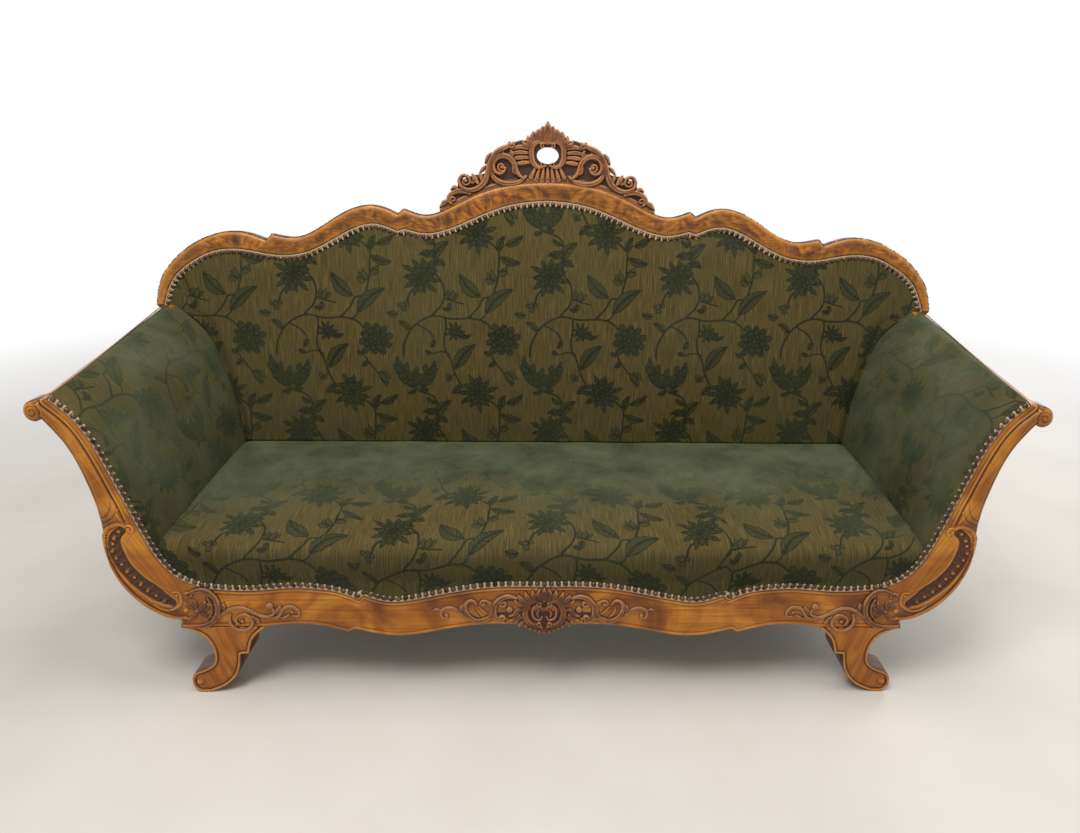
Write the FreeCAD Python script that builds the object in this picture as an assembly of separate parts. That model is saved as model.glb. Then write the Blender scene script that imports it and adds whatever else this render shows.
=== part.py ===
import FreeCAD, Part
import math
import os
from FreeCAD import Vector

# A three-seat sofa with a show-wood frame, out-scrolled arms and fixed upholstery.
# Sizes are in millimetres. X runs along the sofa, the front faces -Y, and Z is up from the floor.
# The origin lies on the floor under the middle of the sofa.

# Overall frame
corner_x = 750.0            # middle to the joint of front rail and arm facing
arm_reach = 305.0           # from that joint out to the tip of the arm scroll
foot_height = 176.0         # floor to the joint above the front feet
arm_rise = 538.0            # from that joint up to the top of the arm facing's inner edge
arm_rear_lift = 71.0        # how much higher the arm is at the back than at the front
front_y = -343.5            # front face of the show wood
back_y = 226.5              # front face of the back frame at the height of the pivot
pivot_z = 450.0             # height where the back frame's slope is set out
rake_deg = 6.84             # how far the back leans
back_half = 1059.0          # middle to the outer end of the crest rail
back_rise = 664.0           # pivot to the top of the crest rail, along the slope

# Front rail
rail_thick = 45.0
rail_top_z = 300.0          # hidden top edge, under the seat
show_top_z = 280.0          # top of the visible wood at the middle
show_wave = 38.0            # depth of the wave in that edge
rail_low_z = 178.0          # lower edge at the middle
low_wave = 27.0             # depth of the wave in the lower edge

# Arm facings and feet
facing_thick = 45.0
hidden_band = 13.0          # wood that runs on under the arm cover
scroll_r = 19.0             # radius of the scroll at the arm's tip
foot_thick = 60.0
foot_toe_r = 17.0           # radius of the scroll at the foot's toe
foot_reach = 63.0           # from the corner joint out to the toe's tip
foot_bracket = 122.0        # from the corner joint in along the rail
foot_neck = 60.0            # width of the foot at its ankle

# Seat frame
side_rail_x = 770.0         # inner face of the side seat rails
side_rail_thick = 40.0
seat_rail_low_z = 190.0     # underside of the hidden seat rails
rear_rail_y = 201.5
rear_rail_thick = 35.0
ledger_thick = 25.0
ledger_height = 60.0
cross_rail_thick = 28.0
cross_rail_height = 45.0
block_leg = 55.0
block_height = 70.0

# Back frame
frame_thick = 35.0
crest_hidden = 40.0         # crest rail under the back cover
post_inner_x = 812.0        # inner side of the rear posts at the seat
lower_back_low = -22.0      # lower back rail, measured up the slope from the pivot
lower_back_height = 55.0
upright_x = 330.0
upright_width = 45.0
leg_x = 830.0
leg_width = 46.0
leg_top_z = 230.0
leg_kick = 66.0             # how far the rear foot stands behind the leg's top
leg_deep = 35.0

# Arm frame
top_rail_r = 18.0
top_rail_inner = 36.0       # from the scroll's centre in to the rail's flat inner side, at the front
top_rail_inner_rear = 29.0
top_rail_out = 3.0          # how far out the rail's rear end lies from its front end
top_rail_run = 60.0         # how far behind the pivot's plane the rail is set out before it is trimmed
arm_rail_x = 862.0
arm_rail_width = 40.0
arm_rail_height = 32.0

# Upholstery
cover_thick = 1.5
braid_thick = 1.5
braid_width = 12.0
braid_gap = 1.0             # between the braid and the step in the wood
nail_inset = 7.0            # nail line, measured from the same step
nail_pitch = 15.6
nail_r = 4.7
nail_height = 3.0
soft_gap = 0.3
seat_half = 842.0
ridge_z = 372.0             # front edge of the seat, where the top turns down
seat_back_z = 413.0
seat_crown = 16.0
front_bulge = 7.0
back_crown = 30.0
back_foot_swell = 16.0
back_low = -58.0            # lower end of the back pad, measured up the slope from the pivot
arm_crown = 6.0
arm_cover_wrap = 16.0       # arm cover's inner face, measured from the step in the facing
arm_pad_low_z = 380.0
arm_pad_foot = 38.0         # thickness of the arm pad at its foot
arm_pad_run = 110.0         # how far behind the pivot's plane the pad is set out before it is trimmed
arm_over_front = 3.0        # how far the arm cover runs over the top rail at the front
arm_over_rear = 34.0
arm_top_pad = 5.0           # padding on top of the top rail
seat_arm_gap = 1.0

# Springs, webbing and cloths
spring_r = 50.0
spring_waist = 33.0
spring_wire_r = 2.0
spring_turns = 5
spring_rows = 3
springs_per_row = 8
spring_pitch_x = 180.0
spring_pitch_y = 140.0
web_width = 50.0
web_thick = 1.5
web_rows = 5
web_lap = 14.0              # how far the back strips lie on the rails
back_web_pitch = 120.0
back_web_side = 6           # back strips to each side of the middle one
arm_web_count = 4
arm_web_start = 30.0
arm_web_pitch = 120.0
hessian_thick = 1.2
hessian_top_z = 348.5
cloth_thick = 1.2
dust_margin = 4.0
back_cloth_margin = 14.0    # wood left bare around the cloth on the back
arm_cloth_sink = 1.0        # how far the cloth on the arm's outer side lies inside the facing's edge
well_margin = 6.0           # between the springs' hessian and the rails around it

# Carving and fastenings
carving_thick = 24.0
carving_relief = 9.0
carving_half = 286.0
carving_height = 149.0
carving_lap = 8.0           # how far the crest carving reaches down over the rail's top
opening_half_width = 35.0
opening_half_height = 22.0
crest_curls = ((103.0, 74.0, 13.0), (214.0, -8.0, 17.0), (249.0, -42.0, 12.0), (100.0, -3.0, 12.0))
cartouche_z = 213.0
cartouche_half = 55.0
cartouche_half_height = 44.0
cartouche_oval = 0.7        # inner oval as a share of the rim
cartouche_bar = 12.0        # height of the bar that carries the side scrolls
cartouche_scrolls = ((85.0, 5.0, 26.0), (145.0, 7.0, 22.0), (190.0, 2.0, 8.0), (222.0, 2.0, 12.0))
corner_bosses = ((765.0, 235.0, 30.0), (678.0, 197.0, 21.0), (612.0, 232.0, 9.0), (565.0, 220.0, 14.0))
tendril_line = ((550.0, 212.0), (590.0, 222.0), (620.0, 207.0), (660.0, 218.0), (700.0, 232.0), (750.0, 205.0))
tendril_half = 4.0
pearl_r = 4.5
pearl_count = 12
pearl_frame = 15.0          # from the row of pearls out to the frame line on either side
pearl_frame_half = 2.0
dowel_r = 5.0
dowel_length = 60.0
dowel_gap = 0.1
screw_r = 2.5
screw_head_r = 5.0
screw_head_height = 4.0

# Sizes that follow from the ones above
rebate = cover_thick + braid_thick
rake = math.radians(rake_deg)
post_top = back_rise * 0.5
arm_height = foot_height + arm_rise
web_top_z = seat_rail_low_z
arm_rail_low_z = arm_pad_low_z - soft_gap - arm_rail_height
arm_pad_inner_x = seat_half + seat_arm_gap
cross_rail_x = spring_pitch_x
well_front_y = front_y + rail_thick + ledger_thick + well_margin
well_back_y = rear_rail_y - well_margin
well_half = side_rail_x - well_margin
seat_front_y = front_y + rebate - cover_thick
seat_rear_y = (back_y + (seat_back_z - pivot_z) * math.tan(rake)
               - back_foot_swell - cover_thick)


# Helpers for outlines

def spline_edge(points, y):
    curve = Part.BSplineCurve()
    curve.interpolate([Vector(x, y, z) for x, z in points])
    return curve.toShape()


def line_edge(a, b, y):
    return Part.makeLine(Vector(a[0], y, a[1]), Vector(b[0], y, b[1]))


def arc_edge(a, b, c, y):
    return Part.Arc(Vector(a[0], y, a[1]), Vector(b[0], y, b[1]), Vector(c[0], y, c[1])).toShape()


def path_edges(path, y):
    # A stretch of two points is a straight line, and a longer one is a smooth curve.
    edges = []
    for stretch in path:
        if math.dist(stretch[0], stretch[-1]) < 1e-6:
            continue
        if len(stretch) == 2:
            edges.append(line_edge(stretch[0], stretch[1], y))
        else:
            edges.append(spline_edge(stretch, y))
    return edges


def joined(path):
    # The path with a straight stretch across each place where one stretch ends and the next starts.
    result = []
    for stretch in path:
        if result and math.dist(result[-1][-1], stretch[0]) > 1e-6:
            result.append([result[-1][-1], stretch[0]])
        result.append(stretch)
    return result


def prism(edges, y0, y1):
    # A plate of the closed outline, which lies in the plane y = 0, from y0 to y1.
    wire = Part.Wire(Part.__sortEdges__(edges))
    plate = Part.Face(wire).extrude(Vector(0, y1 - y0, 0))
    plate.translate(Vector(0, y0, 0))
    return plate


def outline_prism(path, y0, y1):
    closed = joined(path)
    closed = closed + [[closed[-1][-1], closed[0][0]]]
    return prism(path_edges(closed, 0.0), y0, y1)


def box(x0, x1, y0, y1, z0, z1):
    return Part.makeBox(x1 - x0, y1 - y0, z1 - z0, Vector(x0, y0, z0))


def mirrored(shape):
    return shape.mirror(Vector(0, 0, 0), Vector(1, 0, 0))


def mirrored_path(path):
    return [[(-x, z) for x, z in reversed(stretch)] for stretch in reversed(path)]


def both_sides(right):
    # The whole path, from the left end to the right end, of a right half that starts at the middle.
    left = mirrored_path(right)
    return left[:-1] + [left[-1][:-1] + right[0]] + right[1:]


def dense(stretch, count=24):
    if len(stretch) == 2:
        return list(stretch)
    curve = Part.BSplineCurve()
    curve.interpolate([Vector(x, 0, z) for x, z in stretch])
    return [(p.x, p.z) for p in curve.discretize(Number=count)]


def shifted(stretch, gap):
    # The stretch moved to its left by the gap, point by point.
    points = dense(stretch)
    moved = []
    for i, (x, z) in enumerate(points):
        before = points[max(i - 1, 0)]
        after = points[min(i + 1, len(points) - 1)]
        length = math.dist(before, after)
        moved.append((x - gap * (after[1] - before[1]) / length,
                      z + gap * (after[0] - before[0]) / length))
    return moved


def crossing(a, b, c, d):
    # Where the line a-b meets the line c-d, with the share of each line's length, or None.
    r = (b[0] - a[0], b[1] - a[1])
    s = (d[0] - c[0], d[1] - c[1])
    cross = r[0] * s[1] - r[1] * s[0]
    if abs(cross) < 1e-9:
        return None
    t = ((c[0] - a[0]) * s[1] - (c[1] - a[1]) * s[0]) / cross
    u = ((c[0] - a[0]) * r[1] - (c[1] - a[1]) * r[0]) / cross
    return (a[0] + t * r[0], a[1] + t * r[1]), t, u


def mitre(first, second):
    # Two moved stretches, cut back to where they cross, or run on to where their ends would meet.
    for i in range(len(first) - 2, -1, -1):
        for j in range(len(second) - 1):
            hit = crossing(first[i], first[i + 1], second[j], second[j + 1])
            if hit and 0.0 <= hit[1] <= 1.0 and 0.0 <= hit[2] <= 1.0:
                return first[:i + 1] + [hit[0]], second[j + 1:], hit[0]
    hit = crossing(first[-2], first[-1], second[0], second[1])
    return first, second, hit[0] if hit else first[-1]


def offset_path(path, gap):
    # The path moved to its left by the gap, with mitred corners.
    moved = [shifted(stretch, gap) for stretch in path]
    result = [moved[0]]
    for stretch in moved[1:]:
        before, after, corner = mitre(result[-1], stretch)
        result[-1] = before
        if math.dist(before[-1], corner) > 1e-6:
            result.append([before[-1], corner])
        result.append([corner] + after if math.dist(corner, after[0]) > 1e-6 else after)
    return result


def band_prism(inner, outer, y0, y1):
    # A plate between two paths that run side by side.
    backwards = [list(reversed(stretch)) for stretch in reversed(outer)]
    return outline_prism(joined(inner) + joined(backwards), y0, y1)


def along(path, pitch):
    # Evenly spaced points along the path, half a pitch in from each end, near the pitch asked for.
    points = []
    for stretch in path:
        points += dense(stretch, 40)
    lengths = [0.0]
    for a, b in zip(points, points[1:]):
        lengths.append(lengths[-1] + math.dist(a, b))
    count = max(1, round(lengths[-1] / pitch))
    places = []
    i = 0
    for n in range(count):
        target = (n + 0.5) * lengths[-1] / count
        while lengths[i + 1] < target:
            i += 1
        t = (target - lengths[i]) / (lengths[i + 1] - lengths[i])
        places.append((points[i][0] + t * (points[i + 1][0] - points[i][0]),
                       points[i][1] + t * (points[i + 1][1] - points[i][1])))
    return places


def height_on(path, x):
    # The height of the path at a given x.
    for stretch in path:
        points = dense(stretch, 60)
        for a, b in zip(points, points[1:]):
            if min(a[0], b[0]) <= x <= max(a[0], b[0]) and abs(a[0] - b[0]) > 1e-9:
                return a[1] + (x - a[0]) / (b[0] - a[0]) * (b[1] - a[1])
    raise ValueError("the path does not reach x = %g" % x)


def out_on(stretch, z):
    # The x of a stretch at a given height.
    points = dense(stretch, 60)
    for a, b in zip(points, points[1:]):
        if min(a[1], b[1]) <= z <= max(a[1], b[1]) and abs(a[1] - b[1]) > 1e-9:
            return a[0] + (z - a[1]) / (b[1] - a[1]) * (b[0] - a[0])
    return points[0][0] if z < points[0][1] else points[-1][0]


def leaned(shape):
    # From the flat back frame, whose front face is y = 0 and whose pivot is z = 0, to its place.
    shape = shape.copy()
    shape.rotate(Vector(0, 0, 0), Vector(1, 0, 0), -rake_deg)
    shape.translate(Vector(0, back_y, pivot_z))
    return shape


def behind(local_y):
    # Everything behind the plane that lies local_y behind the back frame's front face.
    return leaned(box(-1400, 1400, local_y, local_y + 900, -900, 1200))


# Outlines of the front

def rail_point(share, drop):
    return (share * corner_x, show_top_z + drop * show_wave)


def low_point(share, drop):
    return (share * corner_x, rail_low_z + drop * low_wave)


def arm_point(out, up, lift=0.0):
    return (corner_x + out * arm_reach, foot_height + up * (arm_rise + lift))


def show_edge():
    # The visible wood's inner edge on the right half: rail, tooth, rail, and then up the arm.
    middle = [rail_point(0.0, 0.0), rail_point(0.133, 0.0), rail_point(0.267, -0.35),
              rail_point(0.4, -0.92), rail_point(0.467, -1.0), rail_point(0.536, -0.57)]
    tooth = [middle[-1], rail_point(0.551, -0.88)]
    outer = [tooth[-1], rail_point(0.6, -0.43), rail_point(0.667, -0.16), rail_point(0.733, -0.08),
             rail_point(0.867, -0.27), rail_point(1.0, -0.12)]
    arm = [outer[-1], arm_point(0.184, 0.236), arm_point(0.311, 0.336), arm_point(0.4, 0.472),
           arm_point(0.485, 0.63), arm_point(0.574, 0.788), arm_point(0.7, 0.93), arm_point(0.82, 1.0)]
    return [middle, tooth, outer, arm]


def lower_edge():
    # The lower edge of the front rail on the right half, out to the foot's bracket.
    middle = [low_point(0.0, 0.0), low_point(0.2, 0.1), low_point(0.333, -0.55),
              low_point(0.44, -0.98), low_point(0.569, -0.3)]
    tooth = [middle[-1], low_point(0.591, -0.6)]
    outer = [tooth[-1], low_point(0.667, 0.0), low_point(0.733, 0.19),
             (corner_x - foot_bracket, foot_height)]
    return [middle, tooth, outer]


def arm_outer_edge(lift=0.0):
    # The arm's outer line from the tooth over the foot up to the scroll.
    return [arm_point(0.203, 0.03, lift), arm_point(0.393, 0.086, lift),
            arm_point(0.557, 0.19, lift), arm_point(0.639, 0.333, lift),
            arm_point(0.646, 0.509, lift), arm_point(0.689, 0.667, lift),
            arm_point(0.78, 0.825, lift), arm_point(0.892, 0.922, lift)]


right_show = show_edge()
front_show = both_sides(right_show)
arm_show = [right_show[-1]]
scroll_centre = (corner_x + arm_reach - scroll_r, foot_height + arm_rise * 0.948)


def front_rebate():
    # The space in front of the wood that braid and covers lie in, across the whole front.
    top = right_show[-1][-1]
    step = (top[0] + arm_reach * 0.035, top[1] + arm_rise * 0.02)
    far = (step[0], step[1] + arm_rise)
    path = front_show + [[top, step], [step, far], [far, (-far[0], far[1])],
                         [(-far[0], far[1]), (-step[0], step[1])], [(-step[0], step[1]), (-top[0], top[1])]]
    return prism(path_edges(path, 0.0), front_y - 1.0, front_y + rebate)


# Show wood

def front_rail():
    low = both_sides(lower_edge())
    ends = [[low[-1][-1], (corner_x, foot_height)], [(corner_x, foot_height), (corner_x, rail_top_z)],
            [(corner_x, rail_top_z), (-corner_x, rail_top_z)],
            [(-corner_x, rail_top_z), (-corner_x, foot_height)],
            [(-corner_x, foot_height), low[0][0]]]
    rail = prism(path_edges(low + ends, 0.0), front_y, front_y + rail_thick)
    return rail.cut(front_rebate())


def right_facing():
    outer = arm_outer_edge()
    hidden = offset_path(arm_show, hidden_band)
    hidden = [(corner_x, height_on(hidden, corner_x))] + [p for p in hidden[0] if p[0] > corner_x + 1.0]
    cx, cz = scroll_centre
    neck = outer[-1]
    tip = (cx + scroll_r, cz)
    shoulder = (cx - scroll_r * 0.8, cz + scroll_r * 1.55)
    edges = path_edges([[(corner_x, foot_height), arm_point(0.213, 0.0)],
                        [arm_point(0.213, 0.0), outer[0]], outer], 0.0)
    edges.append(arc_edge(neck, (cx + scroll_r * 0.2, cz - scroll_r * 0.98), tip, 0.0))
    edges.append(arc_edge(tip, (cx + scroll_r * 0.45, cz + scroll_r * 1.1), shoulder, 0.0))
    edges.append(line_edge(shoulder, hidden[-1], 0.0))
    edges.append(spline_edge(hidden, 0.0))
    edges.append(line_edge(hidden[0], (corner_x, foot_height), 0.0))
    board = prism(edges, front_y, front_y + facing_thick)
    return board.cut(front_rebate())


def right_foot():
    # A bracket foot: it narrows to an ankle and turns out into a small scroll.
    inner = corner_x - foot_bracket
    ankle = corner_x + foot_reach * 0.03
    tip = corner_x + foot_reach
    heel = ankle - foot_neck
    toe_x = tip - foot_toe_r
    toe_z = foot_toe_r * 1.75
    bracket = [(inner, foot_height), (inner + foot_bracket * 0.26, foot_height * 0.82),
               (inner + foot_bracket * 0.36, foot_height * 0.6)]
    tooth_in = [bracket[-1], (heel, foot_height * 0.59)]
    sole_in = (corner_x + foot_reach * 0.36, 0.0)
    sole_out = (toe_x, 0.0)
    front = [tooth_in[-1], (heel + foot_neck * 0.2, foot_height * 0.3),
             (heel + foot_neck * 0.72, foot_height * 0.1), sole_in]
    edges = path_edges([bracket, tooth_in, front, [sole_in, sole_out]], 0.0)
    nose = (tip, toe_z)
    crown = (toe_x - foot_toe_r * 0.3, toe_z + foot_toe_r * 1.6)
    edges.append(arc_edge(sole_out, (toe_x + foot_toe_r * 0.75, toe_z * 0.36), nose, 0.0))
    edges.append(arc_edge(nose, (toe_x + foot_toe_r * 0.6, toe_z + foot_toe_r * 1.05), crown, 0.0))
    edges.append(spline_edge([crown, (ankle + foot_reach * 0.08, foot_height * 0.45),
                              (ankle, foot_height * 0.62), (ankle + foot_reach * 0.25, foot_height * 0.85),
                              (corner_x + foot_reach, foot_height)], 0.0))
    edges.append(line_edge((corner_x + foot_reach, foot_height), bracket[0], 0.0))
    return prism(edges, front_y, front_y + foot_thick)


def crest_point(share, up):
    return (share * back_half, up * back_rise)


def crest_top():
    # The crest rail's upper outline on the right half: hump, tooth, hump, tooth, shoulder.
    hump = [crest_point(0.0, 1.0), crest_point(0.094, 0.9875), crest_point(0.189, 0.942),
            crest_point(0.255, 0.8904), crest_point(0.302, 0.8676), crest_point(0.361, 0.8904)]
    tooth = [hump[-1], crest_point(0.376, 0.8706)]
    second = [tooth[-1], crest_point(0.43, 0.9025), crest_point(0.491, 0.8874),
              crest_point(0.567, 0.8191), crest_point(0.628, 0.7767), crest_point(0.694, 0.7872)]
    second_tooth = [second[-1], crest_point(0.708, 0.7645)]
    shoulder = [second_tooth[-1], crest_point(0.774, 0.795), crest_point(0.85, 0.7767),
                crest_point(0.902, 0.7357), crest_point(0.944, 0.6825), crest_point(0.985, 0.5946),
                crest_point(1.0, 0.5)]
    return [hump, tooth, second, second_tooth, shoulder]


def crest_show():
    # The visible wood's lower edge on the right half of the back.
    hump = [crest_point(0.0, 0.9267), crest_point(0.094, 0.9084), crest_point(0.189, 0.8524),
            crest_point(0.264, 0.8054), crest_point(0.302, 0.7947), crest_point(0.359, 0.8114)]
    tooth = [hump[-1], crest_point(0.378, 0.8023)]
    rest = [tooth[-1], crest_point(0.434, 0.83), crest_point(0.519, 0.7872), crest_point(0.614, 0.7143),
            crest_point(0.69, 0.704), crest_point(0.774, 0.725), crest_point(0.85, 0.7128),
            crest_point(0.897, 0.6764), crest_point(0.948, 0.61), crest_point(0.98, 0.5)]
    return [hump, tooth, rest]


back_show = both_sides(crest_show())


def back_rebate():
    low = -back_rise
    end = back_show[-1][-1]
    path = back_show + [[end, (end[0], low)], [(end[0], low), (-end[0], low)],
                        [(-end[0], low), (-end[0], end[1])]]
    return prism(path_edges(path, 0.0), -1.0, rebate)


def over_back():
    # Everything above the visible wood's lower edge on the flat back frame.
    end = back_show[-1][-1]
    far = 2.0 * back_rise
    wide = 2.0 * back_half
    path = back_show + [[end, (wide, end[1])], [(wide, end[1]), (wide, far)], [(wide, far), (-wide, far)],
                        [(-wide, far), (-wide, end[1])], [(-wide, end[1]), (-end[0], end[1])]]
    return leaned(prism(path_edges(path, 0.0), -200.0, 200.0))


def flat_crest_rail():
    top = both_sides(crest_top())
    low = offset_path(back_show, -crest_hidden)
    inner_end = (low[-1][-1][0], post_top)
    low[-1] = [point for point in low[-1] if point[1] > post_top + 1.0] + [inner_end]
    low[0] = [(-inner_end[0], post_top)] + [point for point in low[0] if point[1] > post_top + 1.0]
    rail = band_prism(top, low, 0.0, frame_thick)
    return rail.cut(back_rebate())


def right_post():
    # The raked post of the back frame, with the leg below it that kicks backwards.
    outer = arm_outer_edge(arm_rear_lift)
    stretch = (1.0 / math.cos(rake))
    flat = [(x, (z - pivot_z) * stretch) for x, z in outer]
    foot_v = (seat_rail_low_z - pivot_z) * stretch
    top_out = (back_half, post_top)
    top_in = (offset_path(back_show, -crest_hidden)[-1][-1][0], post_top)
    foot_in = (post_inner_x, foot_v)
    foot_out = (leg_x + leg_width, foot_v)
    shoulder = (post_inner_x, lower_back_low + lower_back_height)
    path = [[foot_in, foot_out], [foot_out, flat[1]], flat[1:], [flat[-1], top_out], [top_out, top_in],
            [top_in, shoulder], [shoulder, foot_in]]
    board = leaned(prism(path_edges(path, 0.0), rebate, frame_thick))
    top_y = back_y + (leg_top_z - pivot_z) * math.tan(rake) + rebate
    leg = []
    for start in (0.0, leg_deep - rebate):
        leg.append([(top_y + start, leg_top_z), (top_y + start + leg_kick * 0.3, leg_top_z * 0.45),
                    (top_y + start + leg_kick, 0.0)])
    edges = []
    for arc in leg:
        edges.append(Part.Arc(*[Vector(leg_x, y, z) for y, z in arc]).toShape())
    for i in (0, 2):
        edges.append(Part.makeLine(Vector(leg_x, leg[0][i][0], leg[0][i][1]),
                                   Vector(leg_x, leg[1][i][0], leg[1][i][1])))
    face = Part.Face(Part.Wire(Part.__sortEdges__(edges)))
    return board.fuse(face.extrude(Vector(leg_width, 0, 0))).removeSplitter()


def rail_share(y):
    start = front_y + facing_thick
    return max(0.0, (y - start) / (back_y + top_rail_run - start))


def top_rail_centre(share):
    # The middle of the rail's rounded nose, from the scroll (share 0) to the rear (share 1).
    return (scroll_centre[0] + top_rail_out * share, scroll_centre[1] + arm_rear_lift * share)


def top_rail_side(share):
    # The rail's flat inner side: how far in it lies from the nose's middle.
    return top_rail_inner + (top_rail_inner_rear - top_rail_inner) * share


def arm_top_rail(grow=0.0):
    # A rail with a rounded outer nose, from the back of the scroll to the rear post.
    wires = []
    r = top_rail_r + grow
    for y, share in ((front_y + facing_thick, 0.0), (back_y + top_rail_run, 1.0)):
        cx, cz = top_rail_centre(share)
        side = cx - top_rail_side(share) - grow
        low = (side, cz + r * 0.2 - 2.0 * grow)
        high = (side, cz + r * 1.2)
        nose = (cx + r, cz)
        keel = (cx, cz - r)
        edges = [line_edge(low, high, y), arc_edge(high, (cx, cz + r * 1.05), nose, y),
                 arc_edge(nose, (cx + r * 0.7, cz - r * 0.7), keel, y),
                 line_edge(keel, low, y)]
        wires.append(Part.Wire(edges))
    rail = Part.makeLoft(wires, True, True)
    return rail.cut(behind(rebate))


# Hidden frame

def side_rail():
    return box(side_rail_x, side_rail_x + side_rail_thick, front_y + facing_thick, rear_rail_y,
               seat_rail_low_z, rail_top_z)


def rear_rail():
    return box(-post_inner_x, post_inner_x, rear_rail_y, rear_rail_y + rear_rail_thick,
               seat_rail_low_z, rail_top_z)


def seat_ledger():
    back = front_y + rail_thick
    return box(-side_rail_x, side_rail_x, back, back + ledger_thick,
               seat_rail_low_z, seat_rail_low_z + ledger_height)


def cross_rails():
    y0 = front_y + rail_thick + ledger_thick
    z1 = seat_rail_low_z + cross_rail_height
    half = cross_rail_thick / 2
    return [box(x - half, x + half, y0, rear_rail_y, seat_rail_low_z, z1)
            for x in (-cross_rail_x, cross_rail_x)]


def corner_block(x_sign, y_sign):
    # A triangular glue block in a corner of the seat frame.
    x = side_rail_x
    y = rear_rail_y if y_sign > 0 else front_y + rail_thick + ledger_thick
    z = seat_rail_low_z + 5.0
    points = [Vector(x, y, z), Vector(x - block_leg, y, z), Vector(x, y - y_sign * block_leg, z)]
    wire = Part.makePolygon(points + [points[0]])
    block = Part.Face(wire).extrude(Vector(0, 0, block_height))
    return block if x_sign > 0 else mirrored(block)


def lower_back_rail():
    return leaned(box(-post_inner_x, post_inner_x, rebate, frame_thick,
                      lower_back_low, lower_back_low + lower_back_height))


def back_uprights(crest):
    top = height_on(crest_show(), upright_x) - 5.0
    low = lower_back_low + lower_back_height
    half = upright_width / 2
    parts = []
    for x in (-upright_x, upright_x):
        parts.append(leaned(box(x - half, x + half, rebate, frame_thick, low, top)).cut(crest))
    return parts


def lower_arm_rail():
    rail = box(arm_rail_x, arm_rail_x + arm_rail_width, front_y + facing_thick, back_y + top_rail_run,
               arm_rail_low_z, arm_rail_low_z + arm_rail_height)
    return rail.cut(behind(rebate))


# Dowels and screws

def cylinder(radius, length, centre, direction):
    axis = Vector(*direction)
    start = Vector(*centre) - axis * (length / 2)
    return Part.makeCylinder(radius, length, start, axis)


def seat_dowel_places():
    mid_y = front_y + rail_thick / 2
    places = []
    for z in (foot_height + 24.0, rail_top_z - 55.0):
        places.append(((corner_x, mid_y, z), (1, 0, 0)))
    for x in (corner_x - foot_bracket * 0.4, corner_x + foot_reach * 0.35):
        places.append(((x, mid_y, foot_height), (0, 0, 1)))
    for z in (seat_rail_low_z + 30.0, rail_top_z - 30.0):
        places.append(((side_rail_x + side_rail_thick / 2, front_y + facing_thick, z), (0, 1, 0)))
        places.append(((post_inner_x, rear_rail_y + rear_rail_thick * 0.5, z), (1, 0, 0)))
    return places


def dowel_pair(place, radius, length):
    (x, y, z), direction = place
    return [cylinder(radius, length, (x, y, z), direction),
            cylinder(radius, length, (-x, y, z), direction)]


def seat_dowels(radius, length):
    pieces = []
    for place in seat_dowel_places():
        pieces += dowel_pair(place, radius, length)
    return pieces


def back_dowels(radius, length):
    # Crest rail to post, and lower back rail to post, set out on the flat back frame.
    mid_y = (rebate + frame_thick) / 2
    low_x = offset_path(back_show, -crest_hidden)[-1][-1][0]
    mid_x = (low_x + back_half) / 2
    places = [((mid_x, mid_y, post_top), (0, 0, 1)),
              ((post_inner_x, mid_y, lower_back_low + lower_back_height * 0.65), (1, 0, 0))]
    pieces = []
    for place in places:
        pieces += dowel_pair(place, radius, length)
    return [leaned(piece) for piece in pieces]


def carving_dowels(radius, length):
    x = carving_half * 0.35
    z = height_on(crest_top(), x)
    return [leaned(piece) for piece in dowel_pair(((x, frame_thick / 2, z), (0, 0, 1)), radius, length)]


def block_screws(gap):
    # One screw through each corner block into the side rail.
    pieces = []
    for y in (rear_rail_y - block_leg * 0.35, front_y + rail_thick + ledger_thick + block_leg * 0.35):
        z = seat_rail_low_z + 5.0 + block_height / 2
        head_x = side_rail_x - block_leg * 0.65
        neck_x = head_x + screw_head_height
        tip_x = side_rail_x + side_rail_thick * 0.6
        axis = Vector(1, 0, 0)
        head = Part.makeCone(screw_head_r + gap, screw_r + gap, screw_head_height, Vector(head_x, y, z), axis)
        shank = Part.makeCylinder(screw_r + gap, tip_x - neck_x + gap, Vector(neck_x, y, z), axis)
        screw = head.fuse(shank).removeSplitter()
        pieces += [screw, mirrored(screw)]
    return pieces


# Soft parts

def seat_section(x, inset, rear):
    # One slice across the seat: front, rounded ridge, crowned top, back and a flat underside.
    end = abs(x) / seat_half
    low = rail_low_z + 30.0
    front = seat_front_y + inset
    start = rail_top_z - 4.0 + (ridge_z - rail_top_z - 24.0) * max(0.0, (end - 0.85) / 0.15)
    bulge = front_bulge * (1.0 - 1.4 * end ** 4)
    crown = seat_crown * (1.0 - 0.75 * end ** 4)
    ridge = ridge_z - inset
    mid_y = (front + rear) / 2
    back_top = seat_back_z - inset
    p = [(front, low), (front, start), (front - bulge, (start + ridge) / 2 + 2.0), (front + 4.0, ridge - 4.0),
         (front + 14.0, ridge + 6.0), (front + 30.0, ridge + 13.0),
         (mid_y, (ridge + 13.0 + back_top) / 2 + crown), (rear, back_top), (rear, low)]
    v = [Vector(x, y, z) for y, z in p]
    edges = [Part.makeLine(v[0], v[1]), Part.Arc(v[1], v[2], v[3]).toShape(),
             Part.Arc(v[3], v[4], v[5]).toShape(), Part.Arc(v[5], v[6], v[7]).toShape(),
             Part.makeLine(v[7], v[8]), Part.makeLine(v[8], v[0])]
    return Part.Wire(edges)


def seat_block(inset, half, rear=seat_rear_y):
    stations = (-1.0, -0.93, -0.8, -0.5, 0.0, 0.5, 0.8, 0.93, 1.0)
    return Part.makeLoft([seat_section(s * half, inset, rear) for s in stations], True, False)


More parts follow.
